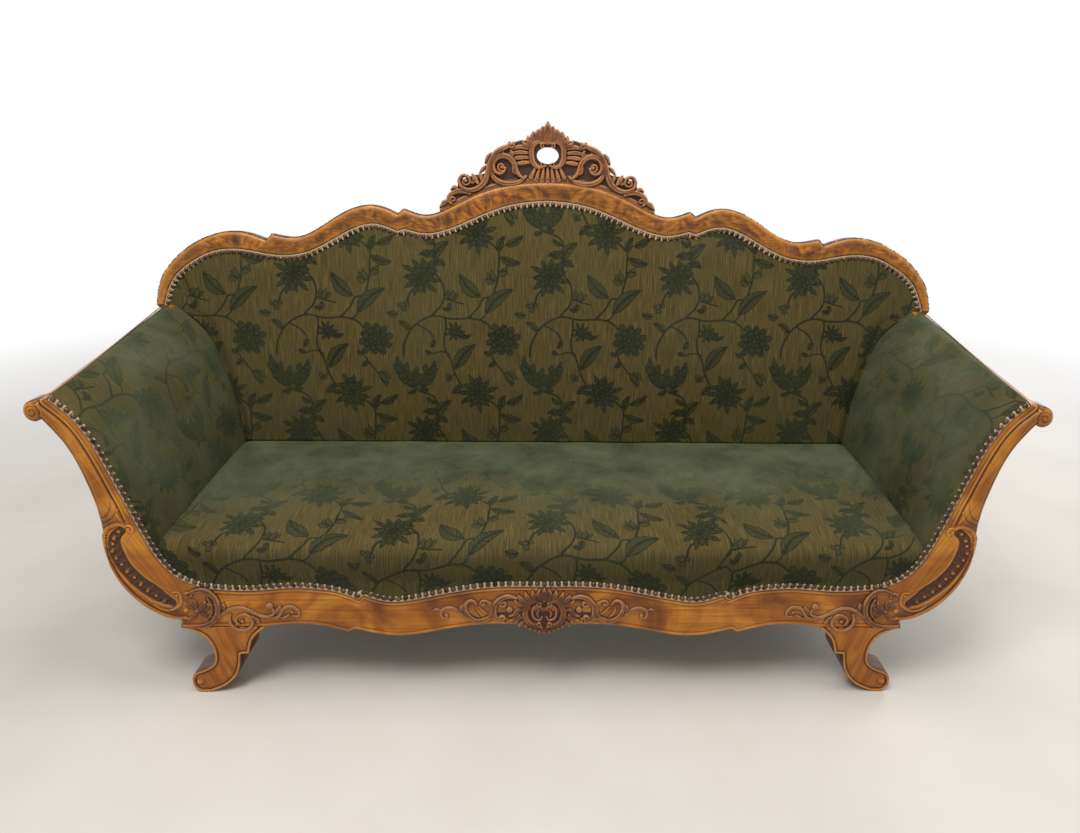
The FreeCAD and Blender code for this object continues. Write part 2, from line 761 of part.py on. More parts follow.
def under_seat():
    # The space that the frame and the springs take up below the seat pad.
    floor = box(-arm_reach - corner_x, arm_reach + corner_x, front_y + rebate, back_y + 200.0,
                0.0, rail_top_z + hessian_thick)
    well = box(-well_half, well_half, well_front_y, well_back_y, 0.0, hessian_top_z + soft_gap)
    return floor.fuse(well)


def arm_front_points(inset):
    # Points on the arm's inner face at the front, from its foot up to the top.
    line = offset_path(arm_show, arm_cover_wrap - inset)[0]
    top = line[-1]
    foot = arm_pad_low_z
    heights = [foot + (top[1] - foot) * share for share in (0.0, 0.27, 0.55, 0.82)]
    points = [(out_on(line, z), z) for z in heights]
    points[0] = (arm_pad_inner_x + inset, foot)
    return points + [top]


def arm_rear_points(inset):
    line = [(0.305, 0.335), (0.365, 0.565), (0.489, 0.762), (0.607, 0.89), (0.836, 0.99)]
    points = [arm_point(out, up, arm_rear_lift) for out, up in line]
    slope = [(1.0, 0.0), (1.0, -0.2), (0.9, -0.4), (0.75, -0.65), (0.3, -0.95)]
    moved = [(x + inset * a, z + inset * b) for (x, z), (a, b) in zip(points, slope)]
    moved[0] = (arm_pad_inner_x + inset, arm_pad_low_z)
    return moved


def arm_section(y, share, inset, outer_x):
    # One slice through the arm pad. With outer_x the slice runs straight out to there.
    front = arm_front_points(inset)
    rear = arm_rear_points(inset)
    crown = arm_crown * 4.0 * share * (1.0 - share)
    pts = []
    for i, (a, b) in enumerate(zip(front, rear)):
        lean = crown * (0.0, 0.6, 1.0, 0.6, 0.0)[i]
        pts.append((a[0] + (b[0] - a[0]) * share - lean, a[1] + (b[1] - a[1]) * share))
    along_rail = rail_share(y)
    cx, cz = top_rail_centre(along_rail)
    over = arm_over_front + (arm_over_rear - arm_over_front) * share
    edge = (cx - top_rail_side(along_rail) + over, cz + top_rail_r * 1.25 + arm_top_pad - inset)
    low, high = arm_web_ends(y)
    rest = [edge, (high[0] - 2.0 * soft_gap, high[1]), (low[0] - 2.0 * soft_gap, arm_pad_low_z)]
    if outer_x:
        rest = [edge, (outer_x, edge[1]), (outer_x, arm_pad_low_z)]
    v = [Vector(x, y, z) for x, z in pts + rest]
    edges = [Part.Arc(v[0], v[1], v[2]).toShape(), Part.Arc(v[2], v[3], v[4]).toShape()]
    for a, b in zip(v[4:], v[5:] + v[:1]):
        edges.append(Part.makeLine(a, b))
    return Part.Wire(edges)


def arm_block(inset, outer_x=0.0):
    y0 = seat_front_y + inset
    y1 = back_y + arm_pad_run
    sections = [arm_section(y0 + (y1 - y0) * s, s, inset, outer_x) for s in (0.0, 0.5, 1.0)]
    return Part.makeLoft(sections, True, False)


def back_section(x, inset):
    # One slice up the flat back pad, crowned towards the sitter and thin at the nail line.
    top = height_on(back_show, x) - arm_cover_wrap
    face = braid_thick + inset
    swell = back_foot_swell - inset
    bow = (1.0 - (x / back_half) ** 4)
    crown = -(back_crown - inset) * bow
    high = back_rise * 0.97
    rear = rebate + 2 * inset
    p = [(rear, back_low), (-swell, back_low), (crown, back_low + (top - back_low) * 0.5), (face, top),
         (face, high), (rear, high)]
    v = [Vector(x, y, z) for y, z in p]
    edges = [Part.makeLine(v[0], v[1]), Part.Arc(v[1], v[2], v[3]).toShape(), Part.makeLine(v[3], v[4]),
             Part.makeLine(v[4], v[5]), Part.makeLine(v[5], v[0])]
    return Part.Wire(edges)


def back_block(inset):
    shares = (0.0, 0.189, 0.302, 0.434, 0.56, 0.66, 0.78, 0.88, 0.94, 0.978)
    stations = [-s for s in reversed(shares[1:])] + list(shares)
    return Part.makeLoft([back_section(s * back_half, inset) for s in stations], True, False)


# Springs, webbing and cloths

def biarc(p0, t0, p1, t1):
    # Two arcs from p0 to p1 that start along t0 and end along t1.
    v = p1 - p0
    t = t0 + t1
    den = 2.0 * (1.0 - t0.dot(t1))
    if den < 1e-9:
        return [Part.makeLine(p0, p1)]
    d = (-v.dot(t) + math.sqrt(v.dot(t) ** 2 + den * v.dot(v))) / den
    q0 = p0 + t0 * d
    q1 = p1 - t1 * d
    joint = (q0 + q1) * 0.5
    arcs = []
    for a, corner, b in ((p0, q0, joint), (joint, q1, p1)):
        mid = (a + b) * 0.5
        height = (corner - mid).Length
        half = (b - a).Length / 2
        sagitta = half * math.tan(math.atan2(height, half) / 2)
        arcs.append(Part.Arc(a, mid + (corner - mid) * (sagitta / height), b).toShape())
    return arcs


def coil_spring(height):
    # A waisted coil: its radius is least at half height.
    steps = spring_turns * 4
    rise = height - 2 * spring_wire_r

    def place(s):
        r = spring_waist + (spring_r - spring_wire_r - spring_waist) * (2 * s - 1) ** 2
        a = 2 * math.pi * spring_turns * s
        return Vector(r * math.cos(a), r * math.sin(a), spring_wire_r + rise * s)

    points = [place(i / steps) for i in range(steps + 1)]
    step = 1e-4
    tangents = []
    for i in range(steps + 1):
        t = place(i / steps + step) - place(i / steps - step)
        tangents.append(t.normalize())
    edges = []
    for i in range(steps):
        edges += biarc(points[i], tangents[i], points[i + 1], tangents[i + 1])
    path = Part.Wire(edges)
    circle = Part.Wire([Part.makeCircle(spring_wire_r, points[0], tangents[0])])
    return path.makePipeShell([circle], True, False)


def spring_places():
    mid_y = (well_front_y + well_back_y) / 2
    columns = [(i - (springs_per_row - 1) / 2) * spring_pitch_x for i in range(springs_per_row)]
    rows = [mid_y + (j - (spring_rows - 1) / 2) * spring_pitch_y for j in range(spring_rows)]
    return [(x, y) for x in columns for y in rows]


def seat_springs():
    height = hessian_top_z - hessian_thick - web_top_z
    spring = coil_spring(height)
    pieces = []
    for x, y in spring_places():
        piece = spring.copy()
        piece.translate(Vector(x, y, web_top_z))
        pieces.append(piece)
    return pieces


def seat_webbing():
    # Cross strips carry the springs, and long strips run below them.
    half = web_width / 2
    y0 = front_y + rail_thick + 2.0
    y1 = rear_rail_y + rear_rail_thick - 2.0
    pitch = spring_pitch_x / 2
    count = 2 * springs_per_row
    strips = []
    for i in range(count - 1):
        x = (i - (count - 2) / 2) * pitch
        strips.append(box(x - half, x + half, y0, y1, web_top_z - web_thick, web_top_z))
    end = side_rail_x + side_rail_thick - 2.0
    mid_y = (well_front_y + well_back_y) / 2
    for j in range(web_rows):
        y = mid_y + (j - (web_rows - 1) / 2) * (well_back_y - well_front_y - web_width) / (web_rows - 1)
        strips.append(box(-end, end, y - half, y + half, web_top_z - 2 * web_thick, web_top_z - web_thick))
    return strips


def spring_hessian():
    # A cloth lid over the springs, with a flange on top of the rails.
    t = hessian_thick
    outer = box(-well_half, well_half, well_front_y, well_back_y, rail_top_z, hessian_top_z)
    inner = box(-well_half + t, well_half - t, well_front_y + t, well_back_y - t,
                rail_top_z - 1.0, hessian_top_z - t)
    rim_x = side_rail_x + side_rail_thick * 0.4
    rim = box(-rim_x, rim_x, front_y + rail_thick * 0.6, rear_rail_y + rear_rail_thick * 0.4,
              rail_top_z, rail_top_z + t)
    return outer.fuse(rim).cut(inner).removeSplitter()


def dust_cover():
    z1 = web_top_z - 2 * web_thick
    half = side_rail_x + side_rail_thick - dust_margin
    return box(-half, half, front_y + rail_thick + dust_margin, rear_rail_y + rear_rail_thick - dust_margin,
               z1 - cloth_thick, z1)


def outside_back_cover():
    # The cloth on the back of the frame, a little inside the outline of the wood.
    top = offset_path(both_sides(crest_top()), -back_cloth_margin)
    end = top[-1][-1]
    low = rail_top_z - pivot_z + back_cloth_margin
    side = [end, (arm_rail_x + arm_rail_width, low)]
    path = top + [side, [side[-1], (-side[-1][0], low)], [(-side[-1][0], low), (-end[0], end[1])]]
    return leaned(prism(path_edges(path, 0.0), frame_thick, frame_thick + cloth_thick))


def back_webbing():
    # Upright strips between the lower back rail and the crest rail, on the front of the frame.
    strips = []
    half = web_width / 2
    for i in range(-back_web_side, back_web_side + 1):
        x = i * back_web_pitch
        top = min(height_on(back_show, x + shift) for shift in (-half, 0.0, half)) - crest_hidden + web_lap
        strips.append(box(x - half, x + half, rebate - web_thick, rebate, lower_back_low + web_lap, top))
    return [leaned(strip) for strip in strips]


def arm_web_ends(y):
    # The lower and upper end of the inner side of an arm strip: on the lower rail, and at the top rail.
    share = rail_share(y)
    cx, cz = top_rail_centre(share)
    low = (arm_pad_inner_x + arm_pad_foot, arm_pad_low_z - soft_gap)
    return low, (cx - top_rail_side(share) - web_thick, cz + top_rail_r * 0.9)


def arm_webbing():
    # Strips from the lower arm rail up to the top rail, behind the arm pad.
    strips = []
    for k in range(arm_web_count):
        start = front_y + facing_thick + arm_web_start + k * arm_web_pitch
        wires = []
        for y in (start, start + web_width):
            low, high = arm_web_ends(y)
            points = [Vector(low[0], y, low[1]), Vector(low[0] + web_thick, y, low[1]),
                      Vector(high[0] + web_thick, y, high[1]), Vector(high[0], y, high[1])]
            wires.append(Part.makePolygon(points + [points[0]]))
        strips.append(Part.makeLoft(wires, True, True))
    return strips


def outside_arm_cover():
    # The cloth on the arm's outer side, from the top rail down to the belly of the facing.
    wires = []
    for y, lift in ((front_y + facing_thick, 0.0), (back_y + arm_pad_run, arm_rear_lift)):
        outer = arm_outer_edge(lift)[1:]
        count = 12
        outer_line = shifted(outer, arm_cloth_sink)
        inner_line = shifted(outer, arm_cloth_sink + cloth_thick)
        a = [outer_line[round(i * 23 / (count - 1))] for i in range(count)]
        b = [inner_line[round(i * 23 / (count - 1))] for i in range(count)]
        edges = [spline_edge(a, y), line_edge(a[-1], b[-1], y), spline_edge(list(reversed(b)), y),
                 line_edge(b[0], a[0], y)]
        wires.append(Part.Wire(edges))
    return Part.makeLoft(wires, True, True)


# Braid and nails

def braid(path, side, face_y):
    near = offset_path(path, side * braid_gap)
    far = offset_path(path, side * (braid_gap + braid_width))
    return band_prism(near, far, face_y, face_y + braid_thick)


def braid_space(path, side, front):
    # The room the braid takes up, from its back to well in front of it.
    near = offset_path(path, side * braid_gap * 0.5)
    far = offset_path(path, side * (braid_gap * 1.5 + braid_width))
    return band_prism(near, far, front, braid_thick)


def nail():
    # A domed head on its flat rim, with its top towards the viewer.
    ball_r = (nail_r ** 2 + nail_height ** 2) / (2 * nail_height)
    low = math.degrees(math.asin((ball_r - nail_height) / ball_r))
    head = Part.makeSphere(ball_r, Vector(0, ball_r - nail_height, 0), Vector(0, -1, 0), low, 90.0, 360.0)
    return head


def nails(path, side, face_y):
    head = nail()
    line = offset_path(path, side * nail_inset)
    pieces = []
    for x, z in along(joined(line), nail_pitch):
        piece = head.copy()
        piece.translate(Vector(x, face_y, z))
        pieces.append(piece)
    return pieces


# Carving

def crest_carving(crest):
    # Pierced carving over the middle of the crest rail.
    w = carving_half
    h = carving_height
    base = back_rise

    def at(out, up):
        return (out * w, base + up * h)

    top = [at(0.0, 1.0), at(0.07, 0.86), at(0.17, 0.7), at(0.24, 0.64)]
    brow = [top[-1], at(0.34, 0.62), at(0.44, 0.52), at(0.52, 0.38)]
    valley = [brow[-1], at(0.58, 0.12), at(0.63, 0.08)]
    bud = [valley[-1], at(0.68, 0.22), at(0.72, 0.05)]
    curl = [bud[-1], at(0.76, 0.09), at(0.82, -0.02)]
    outer_curl = [curl[-1], at(0.88, -0.19), at(0.93, -0.37)]
    leaf = [outer_curl[-1], at(1.0, -0.46)]
    right = [top, brow, valley, bud, curl, outer_curl, leaf]
    end = leaf[-1]
    seat = [(x, z - carving_lap) for x, z in dense(crest_top()[0]) if x < w - carving_lap]
    low = (w, height_on(crest_top(), w) - carving_lap)
    seat = seat[::4] + [low]
    under = [(-x, z) for x, z in reversed(seat[1:])] + seat
    closing = [[end, low], list(reversed(under)), [(-low[0], low[1]), (-end[0], end[1])]]
    path = mirrored_path(right) + right + closing
    y0 = (frame_thick - carving_thick) / 2
    plate = prism(path_edges(path, 0.0), y0, y0 + carving_thick)
    mid = at(0.0, 0.45)
    ellipse = Part.Ellipse(Vector(0, 0, 0), opening_half_width, opening_half_height).toShape()
    ellipse.rotate(Vector(0, 0, 0), Vector(1, 0, 0), 90)
    ellipse.translate(Vector(mid[0], 0, mid[1]))
    hole = Part.Face(Part.Wire([ellipse])).extrude(Vector(0, 2 * frame_thick, 0))
    hole.translate(Vector(0, -frame_thick / 2, 0))
    carved = plate.cut(hole)
    for x, up, radius in crest_curls:
        for sign in (-1, 1):
            start = Vector(sign * x, y0 - carving_relief, base + up)
            carved = carved.fuse(Part.makeCylinder(radius, carving_relief, start, Vector(0, 1, 0)))
    return leaned(carved).cut(crest)


def apron_cartouche():
    # An oval boss in a shell rim, with a scroll to each side.
    pieces = []
    for share, relief in ((1.0, carving_relief * 0.6), (cartouche_oval, carving_relief)):
        edge = Part.Ellipse(Vector(0, 0, 0), cartouche_half * share, cartouche_half_height * share).toShape()
        edge.rotate(Vector(0, 0, 0), Vector(1, 0, 0), 90)
        edge.translate(Vector(0, 0, cartouche_z))
        boss = Part.Face(Part.Wire([edge])).extrude(Vector(0, -relief, 0))
        boss.translate(Vector(0, front_y, 0))
        pieces.append(boss)
    for sign in (-1, 1):
        for x, up, radius in cartouche_scrolls:
            start = Vector(sign * x, front_y, cartouche_z + up)
            pieces.append(Part.makeCylinder(radius, carving_relief * 0.6, start, Vector(0, -1, 0)))
    reach = cartouche_scrolls[-1][0]
    pieces.append(box(-reach, reach, front_y - carving_relief * 0.5, front_y,
                      cartouche_z, cartouche_z + cartouche_bar))
    carved = pieces[0]
    for piece in pieces[1:]:
        carved = carved.fuse(piece)
    return carved.removeSplitter()


def corner_carving():
    # Scrolls and a tendril where the rail, the facing and the foot meet.
    pieces = []
    for x, z, radius in corner_bosses:
        pieces.append(Part.makeCylinder(radius, carving_relief * 0.8, Vector(x, front_y, z), Vector(0, -1, 0)))
    tendril = [list(tendril_line)]
    pieces.append(band_prism(offset_path(tendril, tendril_half), offset_path(tendril, -tendril_half),
                             front_y - carving_relief * 0.5, front_y))
    carved = pieces[0]
    for piece in pieces[1:]:
        carved = carved.fuse(piece)
    return carved.removeSplitter()


def belly_line():
    # The middle of the sunk channel on the lower facing.
    return [arm_point(0.515, 0.44), arm_point(0.56, 0.33), arm_point(0.49, 0.21), arm_point(0.36, 0.135),
            arm_point(0.2, 0.105)]


def belly_carving():
    # A row of pearls along the belly, with a thin raised frame to each side.
    line = [belly_line()]
    pieces = []
    pearl = Part.makeSphere(pearl_r, Vector(0, 0, 0), Vector(0, -1, 0), 0.0, 90.0, 360.0)
    length = sum(math.dist(a, b) for a, b in zip(dense(line[0]), dense(line[0])[1:]))
    for x, z in along(line, length / pearl_count):
        piece = pearl.copy()
        piece.translate(Vector(x, front_y, z))
        pieces.append(piece)
    for gap in (pearl_frame, -pearl_frame):
        pieces.append(band_prism(offset_path(line, gap + pearl_frame_half),
                                 offset_path(line, gap - pearl_frame_half),
                                 front_y - carving_relief * 0.4, front_y))
    return pieces


# Assembly

def build():
    parts = {}
    holes = seat_dowels(dowel_r + dowel_gap, dowel_length + 1.0)
    back_holes = back_dowels(dowel_r + dowel_gap, dowel_length + 1.0)
    carving_holes = carving_dowels(dowel_r + dowel_gap, dowel_length * 0.5 + 1.0)
    screw_holes = block_screws(dowel_gap)

    crest_whole = leaned(flat_crest_rail())
    crest = crest_whole.cut(back_holes + carving_holes)
    facing_whole = right_facing()
    facing = facing_whole.cut(holes)
    rail_whole = front_rail()
    post_whole = right_post()
    post = post_whole.cut(holes + back_holes)
    foot = right_foot().cut(holes)
    rail_side = side_rail().cut(holes + screw_holes)
    top_rail = arm_top_rail()
    arm_low = lower_arm_rail()

    parts["front_rail"] = rail_whole.cut(holes)
    parts["right_arm_facing"] = facing
    parts["left_arm_facing"] = mirrored(facing)
    parts["right_front_foot"] = foot
    parts["left_front_foot"] = mirrored(foot)
    parts["right_rear_post"] = post
    parts["left_rear_post"] = mirrored(post)
    parts["right_side_seat_rail"] = rail_side
    parts["left_side_seat_rail"] = mirrored(rail_side)
    parts["rear_seat_rail"] = rear_rail().cut(holes)
    parts["seat_ledger"] = seat_ledger()
    parts["seat_cross_rails"] = cross_rails()
    blocks = [corner_block(a, b).cut(screw_holes) for a in (-1, 1) for b in (-1, 1)]
    parts["corner_blocks"] = blocks
    parts["corner_block_screws"] = block_screws(0.0)
    parts["crest_rail"] = crest
    parts["lower_back_rail"] = lower_back_rail().cut(back_holes)
    parts["back_uprights"] = back_uprights(crest_whole)
    parts["right_arm_top_rail"] = top_rail
    parts["left_arm_top_rail"] = mirrored(top_rail)
    parts["right_arm_lower_rail"] = arm_low
    parts["left_arm_lower_rail"] = mirrored(arm_low)
    parts["seat_frame_dowels"] = seat_dowels(dowel_r, dowel_length)
    parts["back_frame_dowels"] = back_dowels(dowel_r, dowel_length)
    parts["carving_dowels"] = carving_dowels(dowel_r, dowel_length * 0.5)

    parts["crest_carving"] = crest_carving(crest_whole).cut(carving_holes)
    parts["apron_cartouche"] = apron_cartouche()
    corner = corner_carving()
    parts["right_corner_carving"] = corner
    parts["left_corner_carving"] = mirrored(corner)
    belly = belly_carving()
    parts["right_belly_carving"] = belly
    parts["left_belly_carving"] = [mirrored(piece) for piece in belly]

    parts["seat_webbing"] = seat_webbing()
    parts["seat_springs"] = seat_springs()
    facings = [facing_whole, mirrored(facing_whole)]
    parts["spring_hessian"] = spring_hessian().cut(facings)
    parts["dust_cover"] = dust_cover()
    parts["back_webbing"] = back_webbing()
    arm_web = arm_webbing()
    parts["right_arm_webbing"] = arm_web
    parts["left_arm_webbing"] = [mirrored(strip) for strip in arm_web]

    rail_space = arm_top_rail(soft_gap)
    rail_line = front_show[1:-1]
    rail_braid = braid(rail_line, 1.0, front_y)
    arm_braid = max(braid(arm_show, 1.0, front_y).cut(rail_braid).Solids, key=lambda piece: piece.Volume)
    back_braid = leaned(braid(back_show, -1.0, 0.0)).cut([rail_space, mirrored(rail_space)])
    parts["front_braid"] = rail_braid
    parts["right_arm_braid"] = arm_braid
    parts["left_arm_braid"] = mirrored(arm_braid)
    parts["back_braid"] = back_braid

    wood = [rail_whole] + facings
    gap = cover_thick + soft_gap
    below = under_seat()
    seat_solid = seat_block(0.0, seat_half).cut([below] + wood)
    seat_hollow = seat_block(cover_thick, seat_half + 1.0)
    parts["seat_cover"] = seat_solid.cut([seat_hollow, rail_braid])
    seat_fill = seat_block(gap, seat_half)
    parts["seat_stuffing"] = seat_fill.cut([below] + wood)

    arm_wood = [facing_whole, behind(rebate), rail_space, crest_whole, back_braid]
    arm_solid = arm_block(0.0).cut(arm_wood)
    cover = arm_solid.cut(arm_block(cover_thick))
    parts["right_arm_cover"] = cover
    parts["left_arm_cover"] = mirrored(cover)
    fill = arm_block(gap).cut(arm_wood)
    parts["right_arm_stuffing"] = fill
    parts["left_arm_stuffing"] = mirrored(fill)

    arm_far = arm_block(-soft_gap, corner_x + arm_reach + arm_pad_foot)
    seat_far = seat_block(-soft_gap, seat_half + 1.0, seat_rear_y + soft_gap)
    beside = [arm_far, mirrored(arm_far), rail_space, mirrored(rail_space), seat_far, over_back(),
              leaned(braid_space(back_show, -1.0, -back_crown))]
    back_solid = leaned(back_block(0.0)).cut(beside)
    parts["back_cover"] = back_solid.cut(leaned(back_block(cover_thick)))
    front_of_webbing = behind(rebate - web_thick - soft_gap)
    parts["back_stuffing"] = leaned(back_block(gap)).cut(beside + [front_of_webbing])

    outside = outside_arm_cover().cut([behind(rebate), rail_space])
    parts["right_outside_arm_cover"] = outside
    parts["left_outside_arm_cover"] = mirrored(outside)
    parts["outside_back_cover"] = outside_back_cover()

    parts["front_nails"] = nails(rail_line, 1.0, front_y)
    arm_nails = nails(arm_show, 1.0, front_y)
    parts["right_arm_nails"] = arm_nails
    parts["left_arm_nails"] = [mirrored(head) for head in arm_nails]
    parts["back_nails"] = [leaned(head) for head in nails(back_show, -1.0, 0.0)]
    return parts


def main():
    os.makedirs("parts", exist_ok=True)
    parts = build()
    whole = FreeCAD.BoundBox()
    for name in sorted(parts):
        shape = parts[name]
        if isinstance(shape, list):
            shape = Part.makeCompound(shape)
        whole.add(shape.BoundBox)
        shape.exportStep("parts/%s.step" % name)
        print("%-26s %2d solids  %9.1f cm3  valid %s" % (name, len(shape.Solids), shape.Volume / 1000.0,
                                                        shape.isValid()))
    print("box", [round(v, 1) for v in (whole.XLength, whole.YLength, whole.ZLength)])


main()
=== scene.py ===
import math
import bpy
import numpy as np
from mathutils import Matrix, Vector


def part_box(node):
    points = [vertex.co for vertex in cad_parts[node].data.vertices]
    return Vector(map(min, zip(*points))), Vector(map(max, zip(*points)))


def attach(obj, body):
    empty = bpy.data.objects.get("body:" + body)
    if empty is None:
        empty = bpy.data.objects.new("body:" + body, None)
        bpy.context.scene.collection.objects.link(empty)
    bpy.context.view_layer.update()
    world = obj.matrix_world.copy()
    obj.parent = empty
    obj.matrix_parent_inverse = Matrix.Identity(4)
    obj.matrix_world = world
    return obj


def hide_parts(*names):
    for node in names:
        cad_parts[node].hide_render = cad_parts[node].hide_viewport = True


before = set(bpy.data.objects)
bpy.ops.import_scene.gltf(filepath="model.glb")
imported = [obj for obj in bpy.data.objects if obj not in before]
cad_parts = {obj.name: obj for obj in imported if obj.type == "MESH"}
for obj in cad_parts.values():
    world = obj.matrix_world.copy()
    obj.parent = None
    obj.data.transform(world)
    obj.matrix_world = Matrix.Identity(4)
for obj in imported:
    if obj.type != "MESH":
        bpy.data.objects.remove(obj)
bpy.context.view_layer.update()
print("frame loaded with", len(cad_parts), "nodes")

# Outlines are in millimetres, x from the middle outwards; meshes are made in metres.
mm = 0.001
body = {"frontY": -343.5, "coverY": -342.0, "backY": 226.5, "pivotZ": 450.0, "rake": math.radians(6.84),
        "slope": 1.0072, "rebate": 3.0}

camera = {"place": (0.00901, -1.84115, 1.23499), "yaw": -0.0219075, "pitch": 0.3506725, "roll": -0.0137702,
          "lens": 25.995, "shiftX": -0.02368, "shiftY": -0.00026}


# curves

def travelled(line):
    # The length of a polyline up to each of its points, or of each row of points.
    steps = np.linalg.norm(np.diff(line, axis=-2), axis=-1)
    return np.concatenate([np.zeros(steps.shape[:-1] + (1,)), np.cumsum(steps, axis=-1)], axis=-1)


def evenly(line, step=None, count=None):
    # The polyline sampled again at even steps of its length.
    run = travelled(line)
    if count is None:
        count = max(2, int(math.ceil(run[-1] / step)) + 1)
    s = np.linspace(0.0, run[-1], count)
    return np.stack([np.interp(s, run, line[:, k]) for k in range(line.shape[1])], axis=1)


def smooth(points, step=3.0):
    # A natural cubic spline through the points, over the length of their chords.
    p = np.array(points, float)
    if len(p) == 2:
        return evenly(p, step)
    t = travelled(p)
    h, n = np.diff(t), len(p)
    slope = np.diff(p, axis=0) / h[:, None]
    a, r = np.eye(n), np.zeros_like(p)
    i = np.arange(1, n - 1)
    a[i, i - 1], a[i, i], a[i, i + 1] = h[:-1], 2 * (h[:-1] + h[1:]), h[1:]
    r[i] = 6 * (slope[1:] - slope[:-1])
    m = np.linalg.solve(a, r)
    s = np.linspace(0.0, t[-1], int(t[-1]) + 8)
    k = np.clip(np.searchsorted(t, s, side="right") - 1, 0, n - 2)
    u, g = (s - t[k])[:, None], h[k][:, None]
    q = (p[k] + u * (slope[k] - g * (2 * m[k] + m[k + 1]) / 6) + u ** 2 * m[k] / 2
         + u ** 3 * (m[k + 1] - m[k]) / (6 * g))
    return evenly(q, step)


def joined(stretches, step=3.0):
    # Smooth stretches end to end; a stretch of two points is straight.
    lines = [smooth(points, step) for points in stretches]
    return np.concatenate([lines[0]] + [line[1:] for line in lines[1:]])


def bothSides(right):
    # The right half of a line from the middle outwards, with its mirror image before it.
    return np.concatenate([(right * (-1, 1))[:0:-1], right])


def sideways(line, gap):
    # Each point moved to the left of the line's direction by the gap.
    way = np.gradient(line, axis=0)
    way /= np.linalg.norm(way, axis=1)[:, None]
    return line + gap * np.stack([-way[:, 1], way[:, 0]], axis=1)


def spiral(centre, radius, start, turns, shrink=0.25, count=40):
    # Points that wind in to a centre while the radius shrinks evenly.
    s = np.linspace(0.0, 1.0, count)
    a = math.radians(start) + 2 * math.pi * turns * s
    r = radius * (1 + (shrink - 1) * s)
    return np.stack([centre[0] + r * np.cos(a), centre[1] + r * np.sin(a)], axis=1)


def nearest(line, x, z):
    # For every point the distance to the polyline, and the share of its length at the nearest place.
    best, share = np.full(x.shape, 1e9), np.zeros(x.shape)
    run = travelled(line)
    for (ax, az), (bx, bz), r0, r1 in zip(line[:-1], line[1:], run[:-1], run[1:]):
        length = (bx - ax) ** 2 + (bz - az) ** 2 + 1e-12
        t = np.clip(((x - ax) * (bx - ax) + (z - az) * (bz - az)) / length, 0, 1)
        d = np.hypot(x - ax - t * (bx - ax), z - az - t * (bz - az))
        closer = d < best
        best[closer] = d[closer]
        share[closer] = (r0 + t * (r1 - r0))[closer] / run[-1]
    return best, share


def inside(loop, x, z):
    # Even-odd test of points against a closed polyline.
    hit = np.zeros(x.shape, bool)
    for (ax, az), (bx, bz) in zip(loop, np.roll(loop, -1, axis=0)):
        if az != bz:
            hit ^= ((az > z) != (bz > z)) & (x < (bx - ax) * (z - az) / (bz - az) + ax)
    return hit


def blurred(field, size):
    # A running mean over size cells each way, twice.
    def mean(row):
        return np.convolve(np.pad(row, size // 2, mode="edge"), np.ones(size) / size, "valid")

    for _ in range(2):
        for axis in (0, 1):
            field = np.apply_along_axis(mean, axis, field)
    return field


# meshes

def leaned(points):
    # From the flat back frame (x, depth, height up the slope) to its place.
    x, y, v = points[..., 0], points[..., 1], points[..., 2]
    s, c = math.sin(body["rake"]), math.cos(body["rake"])
    return np.stack([x, body["backY"] + y * c + v * s, body["pivotZ"] - y * s + v * c], axis=-1)


def meshPiece(name, points, faces, uv=None, values=None, material=None, slot=None, replaced=(), fill=None):
    # Points in millimetres and groups of faces become one smooth piece, with its UV map and its named
    # values per point.
    mesh = bpy.data.meshes.new(name)
    points = np.asarray(points, float).reshape(-1, 3)
    flat = np.concatenate([group.ravel() for group in faces])
    sizes = np.concatenate([np.full(len(group), group.shape[1]) for group in faces])
    mesh.vertices.add(len(points))
    mesh.vertices.foreach_set("co", (points * mm).astype(np.float32).ravel())
    mesh.loops.add(len(flat))
    mesh.loops.foreach_set("vertex_index", flat.astype(np.int32))
    mesh.polygons.add(len(sizes))
    mesh.polygons.foreach_set("loop_start", np.concatenate([[0], np.cumsum(sizes)[:-1]]).astype(np.int32))
    mesh.polygons.foreach_set("use_smooth", np.ones(len(sizes), bool))
    if uv is not None:
        layer = mesh.uv_layers.new(name="UVMap")
        corners = np.asarray(uv, float).reshape(-1, 2)[flat] * mm
        layer.data.foreach_set("uv", corners.astype(np.float32).ravel())
    for key, value in (values or {}).items():
        attribute = mesh.attributes.new(key, "FLOAT", "POINT")
        attribute.data.foreach_set("value", np.asarray(value, np.float32).ravel())
    mesh.update(calc_edges=True)
    mesh.validate()
    piece = bpy.data.objects.new(name, mesh)
    bpy.context.scene.collection.objects.link(piece)
    if material:
        mesh.materials.append(material)
    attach(piece, "root")
    if replaced:
        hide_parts(*replaced)
    return piece


def quads(rows, columns):
    # Faces between rows of points, each row joined round on itself.
    i, j = np.meshgrid(np.arange(rows - 1), np.arange(columns), indexing="ij")
    k = (j + 1) % columns
    faces = [i * columns + j, i * columns + k, (i + 1) * columns + k, (i + 1) * columns + j]
    return np.stack(faces, axis=-1).reshape(-1, 4)


def volume(points, faces):
    # Six times the signed volume, to tell which way the faces point.
    total = 0.0
    for group in faces:
        for k in range(1, group.shape[1] - 1):
            a, b, c = points[group[:, 0]], points[group[:, k]], points[group[:, k + 1]]
            total += float(np.einsum("ij,ij->", a, np.cross(b, c)))
    return total


def outward(points, faces):
    return [group[:, ::-1] for group in faces] if volume(points, faces) < 0 else faces


def repeated(one, faces, places):
    # One closed form, its points and faces copied to every place.
    start = len(one) * np.arange(len(places))[:, None, None]
    faces = [(group[None] + start).reshape(-1, group.shape[1]) for group in faces]
    return (one[None] + places[:, None]).reshape(-1, 3), faces


